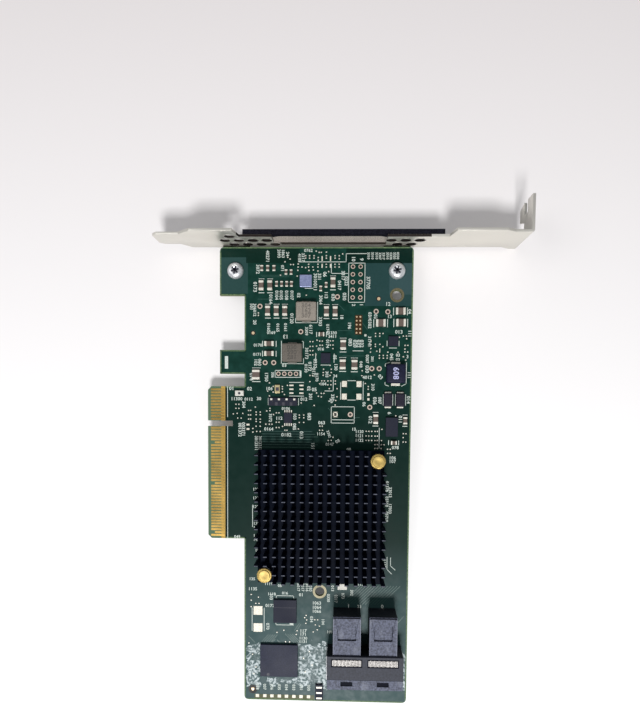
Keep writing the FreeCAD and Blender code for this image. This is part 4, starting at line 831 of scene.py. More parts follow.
# Printed numbers: their height and turn, then digits and middle of each
NUMBERS = {
    (1.1, -90.0): [
        ("2", 49.1, 19.1), ("1", 51.7, 19.0), ("40271", 20.2, 3.1), ("3072", 16.9, 7.3),
        ("0164", 21.3, 17.2), ("0104", 23.3, 15.9), ("0105", 24.8, 15.9), ("0108", 26.6, 15.9),
        ("0107", 28.4, 15.9), ("02", 30.7, 15.9), ("101", 14.8, 19.7), ("20", 15.9, 24.9),
        ("6117", 34.8, 27.2), ("102", 16.3, 38.3), ("060", 17.6, 38.3), ("1750", 19.9, 43.2),
        ("304", 12.2, 52.6), ("001372", 10.9, 61.2), ("003371", 12.1, 61.0), ("103", 29.6, 56.5),
        ("085", 29.5, 60.0), ("151", 35.8, 66.5), ("3303", 38.0, 24.6), ("18", 45.2, 23.0),
        ("196", 47.8, 25.9), ("60302", 54.6, 24.9), ("111", 68.0, 28.5), ("05", 43.0, 36.5),
        ("130", 43.4, 39.7), ("310", 55.9, 46.4), ("045", 62.0, 36.3), ("111", 68.0, 42.3),
        ("087", 58.3, 50.9), ("06", 53.0, 52.2), ("330", 42.4, 50.0), ("30173", 33.5, 35.2),
        ("0332", 36.4, 38.6), ("0172", 34.6, 39.6), ("0171", 35.9, 41.6), ("02", 34.3, 47.0),
        ("301", 34.9, 49.8), ("3010", 36.2, 10.2), ("331", 37.6, 9.8), ("3064", 38.1, 17.4),
        ("113", 39.9, 15.8), ("030", 42.2, 16.6), ("0417", 44.3, 12.6), ("3317", 45.5, 9.4),
        ("0322", 46.6, 11.2), ("030", 54.6, 22.6), ("03", 56.5, 22.9), ("04", 67.8, 21.2),
        ("1103", 60.6, 106.6), ("103", 21.8, 118.9), ("070", 20.6, 129.4),
    ],
    (1.0, -90.0): [
        ("2093", 24.0, 2.2), ("1863", 25.4, 2.2), ("24", 26.9, 2.3), ("4105", 30.9, 3.6),
        ("3317", 32.1, 3.4), ("071", 25.2, 7.0), ("306012", 15.9, 20.8), ("0160", 20.6, 26.6),
        ("0165", 23.7, 26.7), ("0161", 26.3, 26.6), ("3309", 33.4, 27.8), ("3372", 21.3, 57.0),
        ("3013311", 16.5, 65.7), ("3013312", 17.8, 65.7), ("01740", 40.5, 27.2), ("0174", 40.5, 32.0),
        ("31741", 54.6, 31.2), ("048", 51.8, 38.8), ("0307", 53.9, 37.0), ("0130", 33.3, 40.2),
        ("0170", 37.0, 43.2), ("303", 40.4, 42.2), ("01378", 61.2, 80.0), ("03310", 61.2, 85.2),
        ("05710", 61.2, 90.4), ("33013", 62.3, 82.0), ("17033", 62.3, 87.6), ("3017", 31.2, 115.4),
        ("3017", 32.7, 115.4), ("3016", 34.2, 115.4), ("6030", 35.4, 115.4), ("013", 43.0, 115.6),
        ("073", 46.6, 118.2), ("302", 49.6, 117.0), ("034", 35.8, 126.6), ("037", 19.6, 151.0),
        ("036", 22.1, 151.0), ("035", 24.7, 151.0), ("034", 27.2, 151.0), ("033", 29.8, 151.0),
        ("104", 39.8, 127.4), ("0330", 41.6, 119.0), ("0317", 44.2, 119.2), ("038", 17.1, 151.0),
        ("031", 32.4, 151.0), ("030", 35.0, 151.0),
    ],
    (1.0, 0.0): [
        ("0762", 33.9, 1.2), ("0169", 21.5, 28.4), ("0170", 17.0, 32.6), ("0171", 16.8, 35.7),
        ("0112", 13.9, 50.8), ("0106", 26.6, 53.9), ("016", 38.3, 33.8), ("03", 64.2, 35.7),
        ("03", 64.2, 37.2), ("1330", 42.2, 28.4), ("3411", 42.2, 29.6), ("1154", 38.5, 62.4),
        ("0147", 41.6, 65.9), ("13", 49.7, 60.7), ("1120", 51.6, 61.5), ("1121", 51.6, 62.9),
        ("1122", 51.6, 64.4), ("34", 43.2, 42.8), ("104", 39.2, 45.5), ("132", 16.6, 93.4),
        ("131", 16.6, 94.8), ("141", 16.6, 97.6), ("142", 16.6, 99.0), ("15", 16.9, 102.8),
        ("17", 16.9, 104.2), ("135", 15.2, 112.8), ("1119", 20.9, 114.4), ("08", 24.8, 115.0),
        ("1120", 53.0, 114.0), ("101", 42.2, 131.0), ("049", 10.0, 98.1), ("1118", 22.0, 118.0),
        ("016", 26.6, 117.6), ("120", 16.4, 81.6), ("121", 16.4, 84.6), ("122", 16.4, 87.6),
        ("1130", 33.0, 133.4), ("1131", 33.0, 134.6),
    ],
    (1.1, 0.0): [
        ("03", 26.0, 39.3), ("11300", 9.8, 50.7), ("30", 17.4, 50.6), ("106", 20.9, 47.2),
        ("112", 24.3, 57.2), ("0164", 20.8, 60.9), ("012", 32.7, 50.7), ("13", 61.2, 22.9),
        ("4012", 54.0, 43.2), ("3", 67.4, 36.2), ("063", 38.8, 58.6), ("08", 48.1, 67.6),
        ("078", 63.8, 66.8), ("106", 62.9, 70.3), ("107", 62.9, 71.5), ("1063", 37.6, 120.9),
        ("1064", 37.6, 122.4), ("1066", 37.6, 123.8), ("0177", 21.4, 122.1), ("01", 32.2, 118.1),
        ("117", 33.0, 130.8), ("171", 33.0, 132.0), ("21", 52.4, 121.8), ("1135", 15.4, 116.3),
    ],
    (1.2, -90.0): [
        ("10", 48.9, 3.9), ("9", 51.6, 4.1), ("0173", 16.0, 13.2), ("011", 36.2, 13.2),
        ("0120", 28.4, 23.6), ("074", 14.8, 43.2), ("013", 31.9, 62.8), ("083", 34.5, 56.5),
        ("083", 48.1, 31.5), ("020", 49.7, 31.9), ("032", 50.9, 31.9), ("032", 52.0, 31.9),
        ("030", 53.9, 40.4), ("6", 61.6, 55.1), ("036", 56.6, 51.0), ("014", 67.9, 50.6),
        ("012", 55.2, 57.4), ("011", 65.3, 57.2), ("06", 39.4, 9.0), ("030", 46.0, 16.3),
        ("37705", 53.9, 11.8),
    ],
    (0.82, -90.0): [
        ("3310", 53.9, 2.9), ("3310", 55.2, 2.9), ("3310", 56.6, 2.9), ("3307", 57.7, 3.0),
        ("3317", 58.9, 3.0), ("3310", 60.2, 2.9), ("0330", 61.3, 3.0), ("3320", 62.5, 2.9),
        ("0330", 63.6, 2.9),
    ],
    (1.2, 0.0): [
        ("01", 8.1, 47.2), ("02", 14.2, 47.3), ("0182", 26.8, 62.8), ("013", 64.4, 28.0),
        ("05", 36.2, 47.4), ("12", 60.6, 18.8),
    ],
    (0.9, -90.0): [
        ("306", 22.0, 42.5), ("301", 55.6, 37.0),
    ],
    (1.3, 0.0): [
        ("1", 48.6, 121.7), ("0", 60.2, 121.7),
    ],
    (0.9, -70.0): [
        ("3302", 41.2, 62.4),
    ],
    (1.1, -30.0): [
        ("30", 41.8, 51.2),
    ],
    (1.1, 30.0): [
        ("08", 44.3, 64.8),
    ],
    (1.2, -45.0): [
        ("03", 58.4, 43.0),
    ],
    (1.3, 180.0): [
        ("13", 26.4, 29.6),
    ],
}

# Traces under the mask: two ends
TRACES = [((18.5, 61.6 + 0.9 * step), (35.5 + (step % 3), 61.6 + 0.9 * step)) for step in range(8)]
TRACES += [((46.0 + 1.05 * step, 121.0), (52.5 + 1.05 * step, 114.5)) for step in range(14)]
TRACES += [((45.6, 36.0), (53.0, 36.0)), ((44.0, 27.6), (48.5, 27.6)), ((17.0, 17.2), (24.5, 17.2)),
           ((18.0, 9.3), (28.0, 9.3)), ((18.4, 9.8), (27.4, 9.8)), ((52.2, 25.0), (53.8, 27.2)),
           ((43.8, 18.6), (46.0, 20.8)), ((49.9, 56.7), (51.6, 56.7)), ((41.0, 53.6), (42.0, 54.8))]
TRACES += [((18.6 + 0.8 * step, 134.9), (20.8 + 0.8 * step, 132.4)) for step in range(5)]
TRACES += [((26.8 + 0.8 * step, 132.0), (29.8 + 0.8 * step, 135.0)) for step in range(4)]
TRACES += [((14.0, 133.0), (16.2, 135.2)), ((22.2, 135.0), (23.2, 134.1)), ((24.0, 134.2), (24.9, 135.1)),
           ((30.5, 131.0), (32.2, 128.4)), ((30.0, 130.6), (31.6, 128.2)), ((65.0, 128.0), (67.6, 125.0))]


class CARD_OT_contacts(Operator):
    """Finish both rows of gold contacts"""
    bl_idname = "card.contacts"
    bl_label = "Edge Contacts"

    def execute(self, context):
        tone = tuple(context.scene.card_metal.gold)
        look = plain_finish("gold_plating", scaled(tone, 0.66), tone, 0.6, 0.3, 0.9, 0.06, (1.0, 4.0, 1.0))
        dressed("edge_contacts_component_side", look)
        dressed("edge_contacts_solder_side", look)
        return {"FINISHED"}


# Vents in the bracket: place across and height
VENTS = [(6.7 + 4.6 * step, 4.2) for step in range(4)] + [(6.7 + 4.6 * (step + 0.5), -0.25) for step in range(4)]
VENTS += [(9.0, 8.65)] + [(61.1 + 4.6 * step, 4.2) for step in range(3)]
VENTS += [(61.1 + 4.6 * (step + 0.5), -0.25) for step in range(2)]


# Where the vents' walls are painted dark as shade, on X in metres, and the shade's tone
VENT_SPAN = (0.0045, 0.0735)
VENT_SHADE = paint(52, 46, 42)

# The bracket's face towards the board, as a place along the board
BRACKET_FACE = -0.945

# Screws: middles, and a screw's profile of (radius, height) in millimetres
SCREWS = [(9.45, 7.9), (63.45, 7.9)]
SCREW_PROFILE = [
    (0.0, 1.5), (0.9, 1.55), (1.15, 1.72), (1.7, 1.66), (2.2, 1.42), (2.55, 1.05), (2.72, 0.6), (2.75, 0.15),
    (2.68, 0.02), (1.45, 0.0), (1.45, -3.8), (1.2, -4.0), (0.0, -4.0),
]

# The recess in a screw's head: height in millimetres, turns of its arms and an arm's size in metres
RECESS_HIGH = 1.71
RECESS_TURNS = (15, 75, 135)
RECESS_ARM = (0.0027, 0.00055, 0.00016, 1.0)


class CARD_OT_bracket(Operator):
    """Build the bracket with its rounded edges, its screws and its gasket"""
    bl_idname = "card.bracket"
    bl_label = "Bracket"

    def execute(self, context):
        metal = context.scene.card_metal
        bm = node_copy("mounting_bracket", metal.bracket_edge / MM, 2)
        piece("slot_bracket", bm, self.nickel_look(metal), ["mounting_bracket"], smooth=30)
        rims, screws, arms = bmesh.new(), bmesh.new(), bmesh.new()
        # Bright rings round the vents: painted highlights on their edges
        for across, height in VENTS:
            self.vent_rim(rims, across, height)
        mended(rims)
        piece("vent_edge_highlights", rims, finish("vent_edge_highlight"), smooth=35)
        for across, along in SCREWS:
            turned_into(screws, across, along, SCREW_PROFILE, 36)
            for turn in RECESS_TURNS:
                spin = Matrix.Rotation(math.radians(turn), 4, "Z")
                where = Matrix.Translation(at(across, along, RECESS_HIGH)) @ spin @ Matrix.Diagonal(RECESS_ARM)
                bmesh.ops.create_cube(arms, size=1.0, matrix=where)
        mended(screws)
        piece("pan_screws", screws, finish("screw_plating"), ["bracket_screws"], smooth=35)
        piece("screw_recesses", arms, finish("recess_shade"))
        dressed("gasket_backing", finish("woven_backing"))
        dressed("emi_gasket", finish("conductive_foam"))
        return {"FINISHED"}

    def nickel_look(self, metal):
        """Nickel plating, with painted shade on the walls of the vents."""
        nickel, tree, shader = new_look("nickel_sheet")
        place = object_place(tree)
        axes = axes_of(tree, place)
        wide = noise(tree, place, 60.0, 2.0, (0.3, 1.0, 1.0))
        walls = sum_of(tree, "LESS_THAN", sum_of(tree, "ABSOLUTE", facing(tree, "Y"), 0.0), 0.5)
        inner = between(tree, axes["X"], *VENT_SPAN)
        middle = between(tree, axes["Z"], metal.vent_low, metal.vent_high)
        vents = sum_of(tree, "MULTIPLY", walls, sum_of(tree, "MULTIPLY", inner, middle))
        tone = ramp(tree, wide, [(0.3, scaled(metal.nickel, 0.9)), (0.7, tuple(metal.nickel))])
        tree.links.new(blended(tree, vents, tone, VENT_SHADE), shader.inputs["Base Color"])
        shader.inputs["Metallic"].default_value = 0.65
        tree.links.new(ramp(tree, wide, [(0.3, 0.3), (0.7, 0.4)]), shader.inputs["Roughness"])
        return nickel

    def vent_rim(self, bm, across, height):
        """Add a painted highlight round a vent, a bright ring on the bracket's face towards the board."""
        before = len(bm.verts)
        ring_into(bm, 0.0, KEY_PLACE, 1.78, 1.98, 0.0, RING_HIGH, 18)
        bm.verts.ensure_lookup_table()
        upright = Matrix.Translation(at(across, BRACKET_FACE, height)) @ Matrix.Rotation(math.pi / 2, 4, "X")
        flat = upright @ Matrix.Translation(-at(0.0, KEY_PLACE, 0.0))
        bmesh.ops.transform(bm, verts=bm.verts[before:], matrix=flat)


# Heatsink, in metres: height of its base, half a pin's X and Y size, how far it stands in the base, its edge
SINK_BASE = 0.002
PIN_X, PIN_Y = 0.000675, 0.00045
PIN_ROOT = 0.0001
PIN_EDGE = 0.00008

# Share of a pin's Y size that is left at its top, and pins a side missing at two corners
PIN_TAPER = 0.58
MISSING = 2

# The height on Z in metres above which a face that points up is a pin's top
PIN_LEVEL = 0.0075

# A painted highlight on a pin, a pale strip on its top: its two corners from the middle of the pin's top
PIN_HIGHLIGHT = ((-0.00058, -0.0002, -0.00002), (0.00058, 0.00008, 0.00001))


class CARD_OT_heatsink(Operator):
    """Build the heatsink's base and its field of sawn pins over the controller"""
    bl_idname = "card.heatsink"
    bl_label = "Heatsink"

    def execute(self, context):
        settings = context.scene.card_sink
        low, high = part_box("heatsink")
        middle = (low + high) / 2
        base_top = low.z + SINK_BASE
        bm, highlights = bmesh.new(), bmesh.new()
        block_into(bm, low, Vector((high.x, high.y, base_top)), 0.00015, 2)
        for column in range(settings.columns):
            for row in range(settings.rows):
                far = column >= settings.columns - MISSING and row >= settings.rows - MISSING
                near = column < MISSING and row < MISSING
                if far or near:
                    continue
                x = middle.x + (column - (settings.columns - 1) / 2) * settings.column_pitch
                y = middle.y + (row - (settings.rows - 1) / 2) * settings.row_pitch
                self.pin(bm, x, y, base_top, high.z)
                block_into(highlights, *(Vector((x + dx, y + dy, high.z + dz)) for dx, dy, dz in PIN_HIGHLIGHT))
        piece("pin_heatsink", bm, self.anodised_look(settings), ["heatsink"])
        # Pale strips on the pins' tops: painted highlights
        piece("pin_painted_highlights", highlights, finish("pin_highlight_paint"))
        dressed("controller_substrate", finish("package_laminate"))
        dressed("controller_lid", finish("controller_lid_finish"))
        dressed("thermal_pad", finish("thermal_pad_finish"))
        return {"FINISHED"}

    def anodised_look(self, settings):
        """Black anodising, with the pins' top faces painted a lighter tone where light falls on them."""
        look, tree, shader = new_look("black_anodised")
        place = object_place(tree)
        grain = noise(tree, place, 1800.0, 3.0)
        wide = noise(tree, place, 120.0, 2.0)
        top = sum_of(tree, "GREATER_THAN", facing(tree, "Z"), 0.6)
        raised = sum_of(tree, "GREATER_THAN", axes_of(tree, place)["Z"], PIN_LEVEL)
        lid = blended(tree, wide, tuple(settings.lit_top_tone), scaled(settings.lit_top_tone, 0.6))
        side = blended(tree, grain, tuple(settings.anodised), scaled(settings.anodised, 1.8))
        tone = blended(tree, sum_of(tree, "MULTIPLY", top, raised), side, lid)
        tree.links.new(tone, shader.inputs["Base Color"])
        shader.inputs["Specular IOR Level"].default_value = 0.05
        tree.links.new(ramp(tree, wide, [(0.3, 0.5), (0.7, 0.62)]), shader.inputs["Roughness"])
        relief(tree, shader, grain, 0.12, 0.00004)
        return look

    def pin(self, bm, x, y, low, high):
        """Add one pin: tapered along the board, straight across it, its top edges broken."""
        made = block_into(bm, Vector((x - PIN_X, y - PIN_Y, low - PIN_ROOT)), Vector((x + PIN_X, y + PIN_Y, high)))
        tops = [vert for vert in made if vert.co.z > (low + high) / 2]
        for vert in tops:
            vert.co.y = y + (vert.co.y - y) * PIN_TAPER
        edges = {edge for vert in tops for edge in vert.link_edges if edge.other_vert(vert) in tops}
        rounded(bm, edges, PIN_EDGE, 1)


# Push pins: middles, and a pin's profile of (radius, height) in millimetres
PUSH_PINS = [(57.6, 70.9), (20.4, 109.3)]
PUSH_PIN_PROFILE = [
    (0.0, 8.25), (0.9, 8.3), (1.55, 8.38), (1.75, 8.36), (1.85, 8.2), (1.95, 8.02), (2.2, 8.0), (2.4, 7.92),
    (2.48, 7.78), (2.5, 7.6), (2.5, 7.3), (2.42, 7.2), (1.2, 7.2), (1.2, -1.57), (1.62, -1.6), (1.65, -1.7),
    (0.95, -2.6), (0.85, -2.67), (0.0, -2.67),
]

# Springs: radius of the coil and of the wire in metres, lowest point and rise in millimetres, turns and steps
COIL_RADIUS = 0.00185
WIRE_RADIUS = 0.00024
SPRING_LOW = 4.78
SPRING_RISE = 2.1
SPRING_TURNS = 3
SPRING_STEPS = 72


class CARD_OT_push_pins(Operator):
    """Build the brass push pins and their springs"""
    bl_idname = "card.push_pins"
    bl_label = "Push Pins"

    def execute(self, context):
        tone = tuple(context.scene.card_metal.brass)
        brass = plain_finish("push_pin_brass", scaled(tone, 0.7), tone, 1.2, 0.5, 0.55, 0.05)
        pins, springs = bmesh.new(), bmesh.new()
        for across, along in PUSH_PINS:
            turned_into(pins, across, along, PUSH_PIN_PROFILE)
            self.spring(springs, at(across, along))
        mended(pins)
        piece("brass_push_pins", pins, brass, ["push_pins"], smooth=35)
        mended(springs)
        piece("push_pin_coils", springs, finish("spring_wire"), ["push_pin_springs"], smooth=40)
        return {"FINISHED"}

    def spring(self, bm, middle):
        """Add a spring of round wire between the heatsink's base and a head."""
        start = Matrix.Translation(middle + Vector((COIL_RADIUS, 0.0, SPRING_LOW * MM)))
        circle = bmesh.ops.create_circle(bm, cap_ends=True, segments=8, radius=WIRE_RADIUS,
                                         matrix=start @ Matrix.Rotation(math.pi / 2, 4, "X"))["verts"]
        face = circle[0].link_faces[0]
        rise = (0.0, 0.0, SPRING_RISE * MM / SPRING_STEPS)
        bmesh.ops.spin(bm, geom=[face, *face.edges, *circle], cent=middle, axis=(0.0, 0.0, 1.0), dvec=rise,
                       angle=2 * math.pi * SPRING_TURNS, steps=SPRING_STEPS, use_merge=False)


# Cable port: middles of its two lobes across the board, teeth of a comb and their pitch
LOBES = (48.0, 60.0)
TEETH = 21
TOOTH_PITCH = 0.46

# The height on Z in metres above which the housing's top is its block, and the tone of the lobes' scuffs
BLOCK_LEVEL = 0.0104
SCUFF_TONE = paint(128, 132, 146)

# Painted shade on a lobe, as dark windows, recesses and lines: place along, X and Y size, lowest and highest point
LOBE_SHADES = [(137.6, 10.3, 2.75, 10.0, 10.03), (144.9, 3.8, 1.3, 8.9, 9.1), (122.6, 8.8, 0.5, 9.4, 9.42)]

# Painted shade as dark lines across the block: middle, X and Y size, lowest and highest point
BLOCK_SHADES = [(54.1, 135.35, 25.0, 0.3, 9.9, 10.02), (54.1, 143.25, 25.0, 0.22, 9.4, 9.9)]


class CARD_OT_port(Operator):
    """Build the cable port's housing with its contacts and side strips"""
    bl_idname = "card.port"
    bl_label = "Cable Port"

    def execute(self, context):
        settings = context.scene.card_port
        tone = tuple(settings.housing)
        bm = node_copy("connector_housing", settings.edge / MM, 2)
        piece("port_housing", bm, self.plastic_look(tone), ["connector_housing"])
        dressed("connector_contacts", finish("port_contacts"))
        dressed("connector_clips", finish("clip_metal"))
        combs, rims, ridges = bmesh.new(), bmesh.new(), bmesh.new()
        for middle in LOBES:
            for shade in LOBE_SHADES:
                brick_into(rims, middle, *shade)
            for step in range(TEETH):
                reach = 1.8 + 0.14 * ((step * 5) % 3)
                place = middle + (step - TEETH // 2) * TOOTH_PITCH
                brick_into(combs, place, 137.55, 0.34, reach, 10.03, 10.07)
            for side in (-1, 1):
                brick_into(ridges, middle + side * 4.42, 129.0, 0.34, 12.2, 9.4, 9.55, 0.06)
                line_into(rims, (middle + side * 3.9, 122.8), (middle + side * 2.9, 128.6), 0.1, 9.415)
        for shade in BLOCK_SHADES:
            brick_into(rims, *shade)
        piece("port_combs", combs, finish("port_comb_metal"))
        # The dark sheets in the windows, recesses and along edges are painted shade
        piece("port_painted_shade", rims, finish("port_shade"))
        # The ridges take a paler copy of the housing's tone: a painted highlight
        pale = plain_finish("ridge_painted_highlight", scaled(tone, 0.9), scaled(tone, 1.9), 0.3, 0.5, 0.0, 0.2)
        piece("lobe_ridges", ridges, pale)
        return {"FINISHED"}

    def plastic_look(self, tone):
        """Filled plastic: walls painted dark as shade, a plain block and cloudy, scuffed lobes."""
        plastic, tree, shader = new_look("filled_plastic")
        coords = object_place(tree)
        fine = noise(tree, coords, 1700.0, 5.0)
        scuffed = noise(tree, coords, 420.0, 4.0, (1.0, 0.4, 1.0))
        cloud = ramp(tree, fine, [(0.34, scaled(tone, 0.6)), (0.66, scaled(tone, 1.7))])
        worn = blended(tree, ramp(tree, scuffed, [(0.56, 0.0), (0.72, 0.5)]), cloud, SCUFF_TONE)
        plain = ramp(tree, fine, [(0.3, scaled(tone, 0.26)), (0.7, scaled(tone, 0.5))])
        block = sum_of(tree, "GREATER_THAN", axes_of(tree, coords)["Z"], BLOCK_LEVEL)
        upward = sum_of(tree, "GREATER_THAN", facing(tree, "Z"), 0.4)
        lid = blended(tree, block, worn, plain)
        # Faces that do not point up take a much darker tone: painted shade
        tree.links.new(blended(tree, upward, scaled(tone, 0.16), lid), shader.inputs["Base Color"])
        shader.inputs["Roughness"].default_value = 0.55
        shader.inputs["Specular IOR Level"].default_value = 0.22
        relief(tree, shader, fine, 0.3, 0.00005)
        return plastic


# Solder side's chips: middle, X size and Y size
BACK_CHIPS = [(38.8 + (column - 1) * 3.0, 90.1 + (row - 1.5) * 3.0, 1.0, 0.5)
              for row in range(4) for column in range(3)]

# Chips with two soldered ends: their kind, CAD node, sizes, lowest and highest point
CHIP_GROUPS = [
    ("ceramic", "ceramic_capacitors", CERAMICS, 0.0, 1.3),
    ("chip", "small_chips", CHIPS, 0.0, 0.5),
    ("back_chip", "solder_side_capacitors", BACK_CHIPS, -BOARD_THICKNESS - 0.5, -BOARD_THICKNESS),
]

# Polymer capacitors: middles
POLYMERS = [(61.0, 50.7), (65.1, 50.7)]


def chip_into(bodies, ends, across, along, width, length, low, high, share=0.24):
    """Add a chip's body and its two soldered ends, along its longer side."""
    upright = length >= width
    run = length if upright else width
    cap = run * share
    shrink = 0.06
    if upright:
        brick_into(bodies, across, along, width - shrink, length - 1.6 * cap, low, high - shrink / 2, 0.05)
        for side in (-1, 1):
            brick_into(ends, across, along + side * (length - cap) / 2, width, cap, low, high, 0.08, 2)
    else:
        brick_into(bodies, across, along, width - 1.6 * cap, length - shrink, low, high - shrink / 2, 0.05)
        for side in (-1, 1):
            brick_into(ends, across + side * (width - cap) / 2, along, cap, length, low, high, 0.08, 2)


class CARD_OT_capacitors(Operator):
    """Build the ceramic capacitors, the small chips and the polymer capacitors"""
    bl_idname = "card.capacitors"
    bl_label = "Capacitors"

    def execute(self, context):
        tin = tin_look(context)
        tone = tuple(context.scene.card_part.ceramic)
        ceramic = plain_finish("sintered_ceramic", scaled(tone, 0.8), tone, 0.3, 0.6, 0.0, 0.15, gleam=0.2)
        for kind, node, chips, low, high in CHIP_GROUPS:
            bodies, ends = bmesh.new(), bmesh.new()
            for chip in chips:
                chip_into(bodies, ends, *chip, low, high)
            piece(kind + "_bodies", bodies, ceramic, [node])
            piece(kind + "_ends", ends, tin)
        cases = [(*middle, 2.9, 4.4, 0.0, 1.9, 0.4, 3) for middle in POLYMERS]
        bricks("polymer_bodies", finish("polymer_moulding"), cases, ["polymer_capacitors"])
        ends = [(across, along + side * 2.45, 2.2, 0.5, 0.0, 1.0, 0.12, 2) for across, along in POLYMERS
                for side in (-1, 1)]
        bricks("polymer_ends", tin, ends, ["polymer_terminals"])
        return {"FINISHED"}


# Pressed coils: name, middle, X size, Y size over the ends, share of the tone, marks and CAD node
COILS = [
    ("first", 33.4, 21.5, 6.8, 7.0, 1.0, ("304", "162", "307"), ["output_inductors"]),
    ("second", 28.75, 35.2, 6.7, 7.0, 0.5, ("030", "590", "281"), []),
]

# Dark core: middle, and its feet's distance from it
CORE = (63.5, 41.95)
CORE_FOOT = 3.2


class CARD_OT_coils(Operator):
    """Build the two pressed coils and the dark core"""
    bl_idname = "card.coils"
    bl_label = "Coils"

    def execute(self, context):
        tone = tuple(context.scene.card_part.coil)
        digits = digit_shapes()
        for name, across, along, width, length, share, marks, replaced in COILS:
            shade = scaled(tone, share)
            pressed = plain_finish(name + "_pressed_powder", scaled(shade, 0.7), shade, 0.3, 0.7, 0.0, 0.5, gleam=0.2)
            body = (across, along, width, length - 0.9, 0.0, 3.0, 0.5, 3)
            bricks(name + "_pressed_coil", pressed, [body], replaced, smooth=40)
            stamp = plain_finish(name + "_stamp", scaled(shade, 0.34), scaled(shade, 0.5), 0.3, 0.7)
            bm = bmesh.new()
            for row, text in enumerate(marks):
                number_into(bm, digits, text, across, along + (row - 1) * 1.65, 3.005, 1.5)
            piece(name + "_coil_marks", bm, stamp)
        ends = [(across, along + side * (length - 0.45) / 2, 3.0, 0.45, 0.0, 1.2, 0.1, 2)
                for name, across, along, width, length, *rest in COILS for side in (-1, 1)]
        bricks("coil_ends", finish("dull_tin"), ends, ["inductor_terminals"])
        body = (*CORE, 6.5, 6.4, 0.5, 3.0, 0.7, 3)
        bricks("ferrite_core", finish("dark_ferrite_finish"), [body], ["core_inductor"], smooth=40)
        bm = bmesh.new()
        number_into(bm, digits, "608", 63.3, 41.9, 3.01, 1.9, -90.0)
        piece("core_marks", bm, finish("lilac_ink"))
        feet = [(CORE[0], CORE[1] + side * CORE_FOOT, 3.0, 1.5, 0.0, 0.5, 0.1, 2) for side in (-1, 1)]
        bricks("core_feet", tin_look(context), feet, ["core_terminals"])
        return {"FINISHED"}


# Packages: node, middle, X size, Y size, height and finish
PACKAGES = [
    ("regulator_package", 62.45, 59.8, 4.1, 6.4, 1.0, "package"),
    ("buffer_memory", 26.7, 123.75, 8.0, 8.1, 1.0, "package"),
    ("flash_memory", 24.7, 141.15, 13.0, 11.3, 1.2, "flash"),
    ("serial_memory", 27.4, 57.05, 2.8, 3.5, 1.0, "package"),
    ("resistor_network", 25.6, 51.55, 9.8, 2.7, 0.8, "package"),
    ("edge_transistor", 38.7, 152.2, 2.6, 5.5, 1.0, "package"),
    ("clock_oscillator", 33.1, 11.3, 4.0, 4.0, 0.9, "lilac"),
    ("output_diode", 23.75, 47.3, 1.7, 2.8, 0.9, "pale_gold"),
    ("indicator_lamp", 46.4, 114.8, 3.2, 2.0, 0.9, "white"),
    ("crystal", 10.85, 48.8, 2.9, 1.8, 0.9, "white"),
]
REGULATORS = [(62.55, 31.1, 3.3, 3.2), (39.95, 36.9, 3.3, 3.4)]

# Marks on packages: middle, X and Y size, or radius for dots, lowest and highest point
BRIGHT_MARKS = [(across, 50.75, 0.7, 0.6, 0.8, 0.82) for across in (21.7, 24.3, 26.9, 29.5)]
BRIGHT_MARKS += [(38.7, along, 1.9, 0.55, 1.0, 1.02) for along in (150.4, 152.3, 154.2)]
DARK_MARKS = [(across, 52.3, 0.9, 1.1, 0.8, 0.82) for across in (23.4, 25.8, 28.4)]
DARK_MARKS += [(26.7, 122.4, 7.4, 0.12, 1.0, 1.01), (23.75, 47.3, 1.1, 1.2, 0.9, 0.92)]
DARK_DOTS = [(10.85, 48.8, 0.45, 0.9, 0.92), (21.0, 146.0, 0.5, 1.2, 1.21)]


class CARD_OT_packages(Operator):
    """Build the moulded packages, memories and other small parts"""
    bl_idname = "card.packages"
    bl_label = "Packages"

    def execute(self, context):
        tone = tuple(context.scene.card_part.package)
        pale = scaled(tone, 1.5)
        looks = {
            "flash": plain_finish("flash_compound", scaled(pale, 0.6), pale, 0.3, 0.6, 0.0, 0.25, gleam=0.2),
            "package": plain_finish("moulding_compound", scaled(tone, 0.6), tone, 0.3, 0.6, 0.0, 0.25, gleam=0.2),
            "lilac": finish("lilac_lid"),
            "pale_gold": finish("pale_gold_lid"),
            "white": finish("white_moulding"),
        }
        for name, across, along, width, length, height, kind in PACKAGES:
            body = (across, along, width, length, 0.0, height, 0.1, 2)
            bricks(name + "_body", looks[kind], [body], [name])
        bodies = [(*package, 0.0, 0.9, 0.08, 2) for package in REGULATORS]
        bricks("leadless_regulator_bodies", looks["package"], bodies, ["leadless_regulators"])
        tin = tin_look(context)
        dressed("serial_memory_pins", tin)
        bricks("package_bright_marks", tin, BRIGHT_MARKS)
        dark = bmesh.new()
        for mark in DARK_MARKS:
            brick_into(dark, *mark)
        for dot in DARK_DOTS:
            disc_into(dark, *dot)
        piece("package_dark_marks", dark, finish("package_marks"))
        return {"FINISHED"}


# Floor: half its size and its gap below the card in metres, its run of tone on Y that paints shade beyond the
# bracket, and its painted glow
FLOOR_HALF = 2.5
FLOOR_GAP = 0.00004
FLOOR_RUN = (-0.10, 0.15)
GLOW_SHARE = 0.08

# Lamps: name, place and size in metres, share of the power; the point they face and the surround's colour
LAMPS = [("softbox", (0.05, -0.42, 0.72), 0.16, 1.0), ("side_softbox", (-0.45, 0.10, 0.6), 0.4, 0.14)]
LAMP_AIM = (0.04, 0.0, 0.0)
SURROUND = (0.96, 0.97, 1.0, 1.0)

# Camera: place in metres, turns about X, Y and Z in radians, upward shift and sensor in millimetres
CAMERA_PLACE = (0.044856, 0.004688, 0.198556)
CAMERA_TURNS = (0.0598609246, -0.0331133953, -0.0103317566)
CAMERA_SHIFT = 0.1307
SENSOR = 36.0


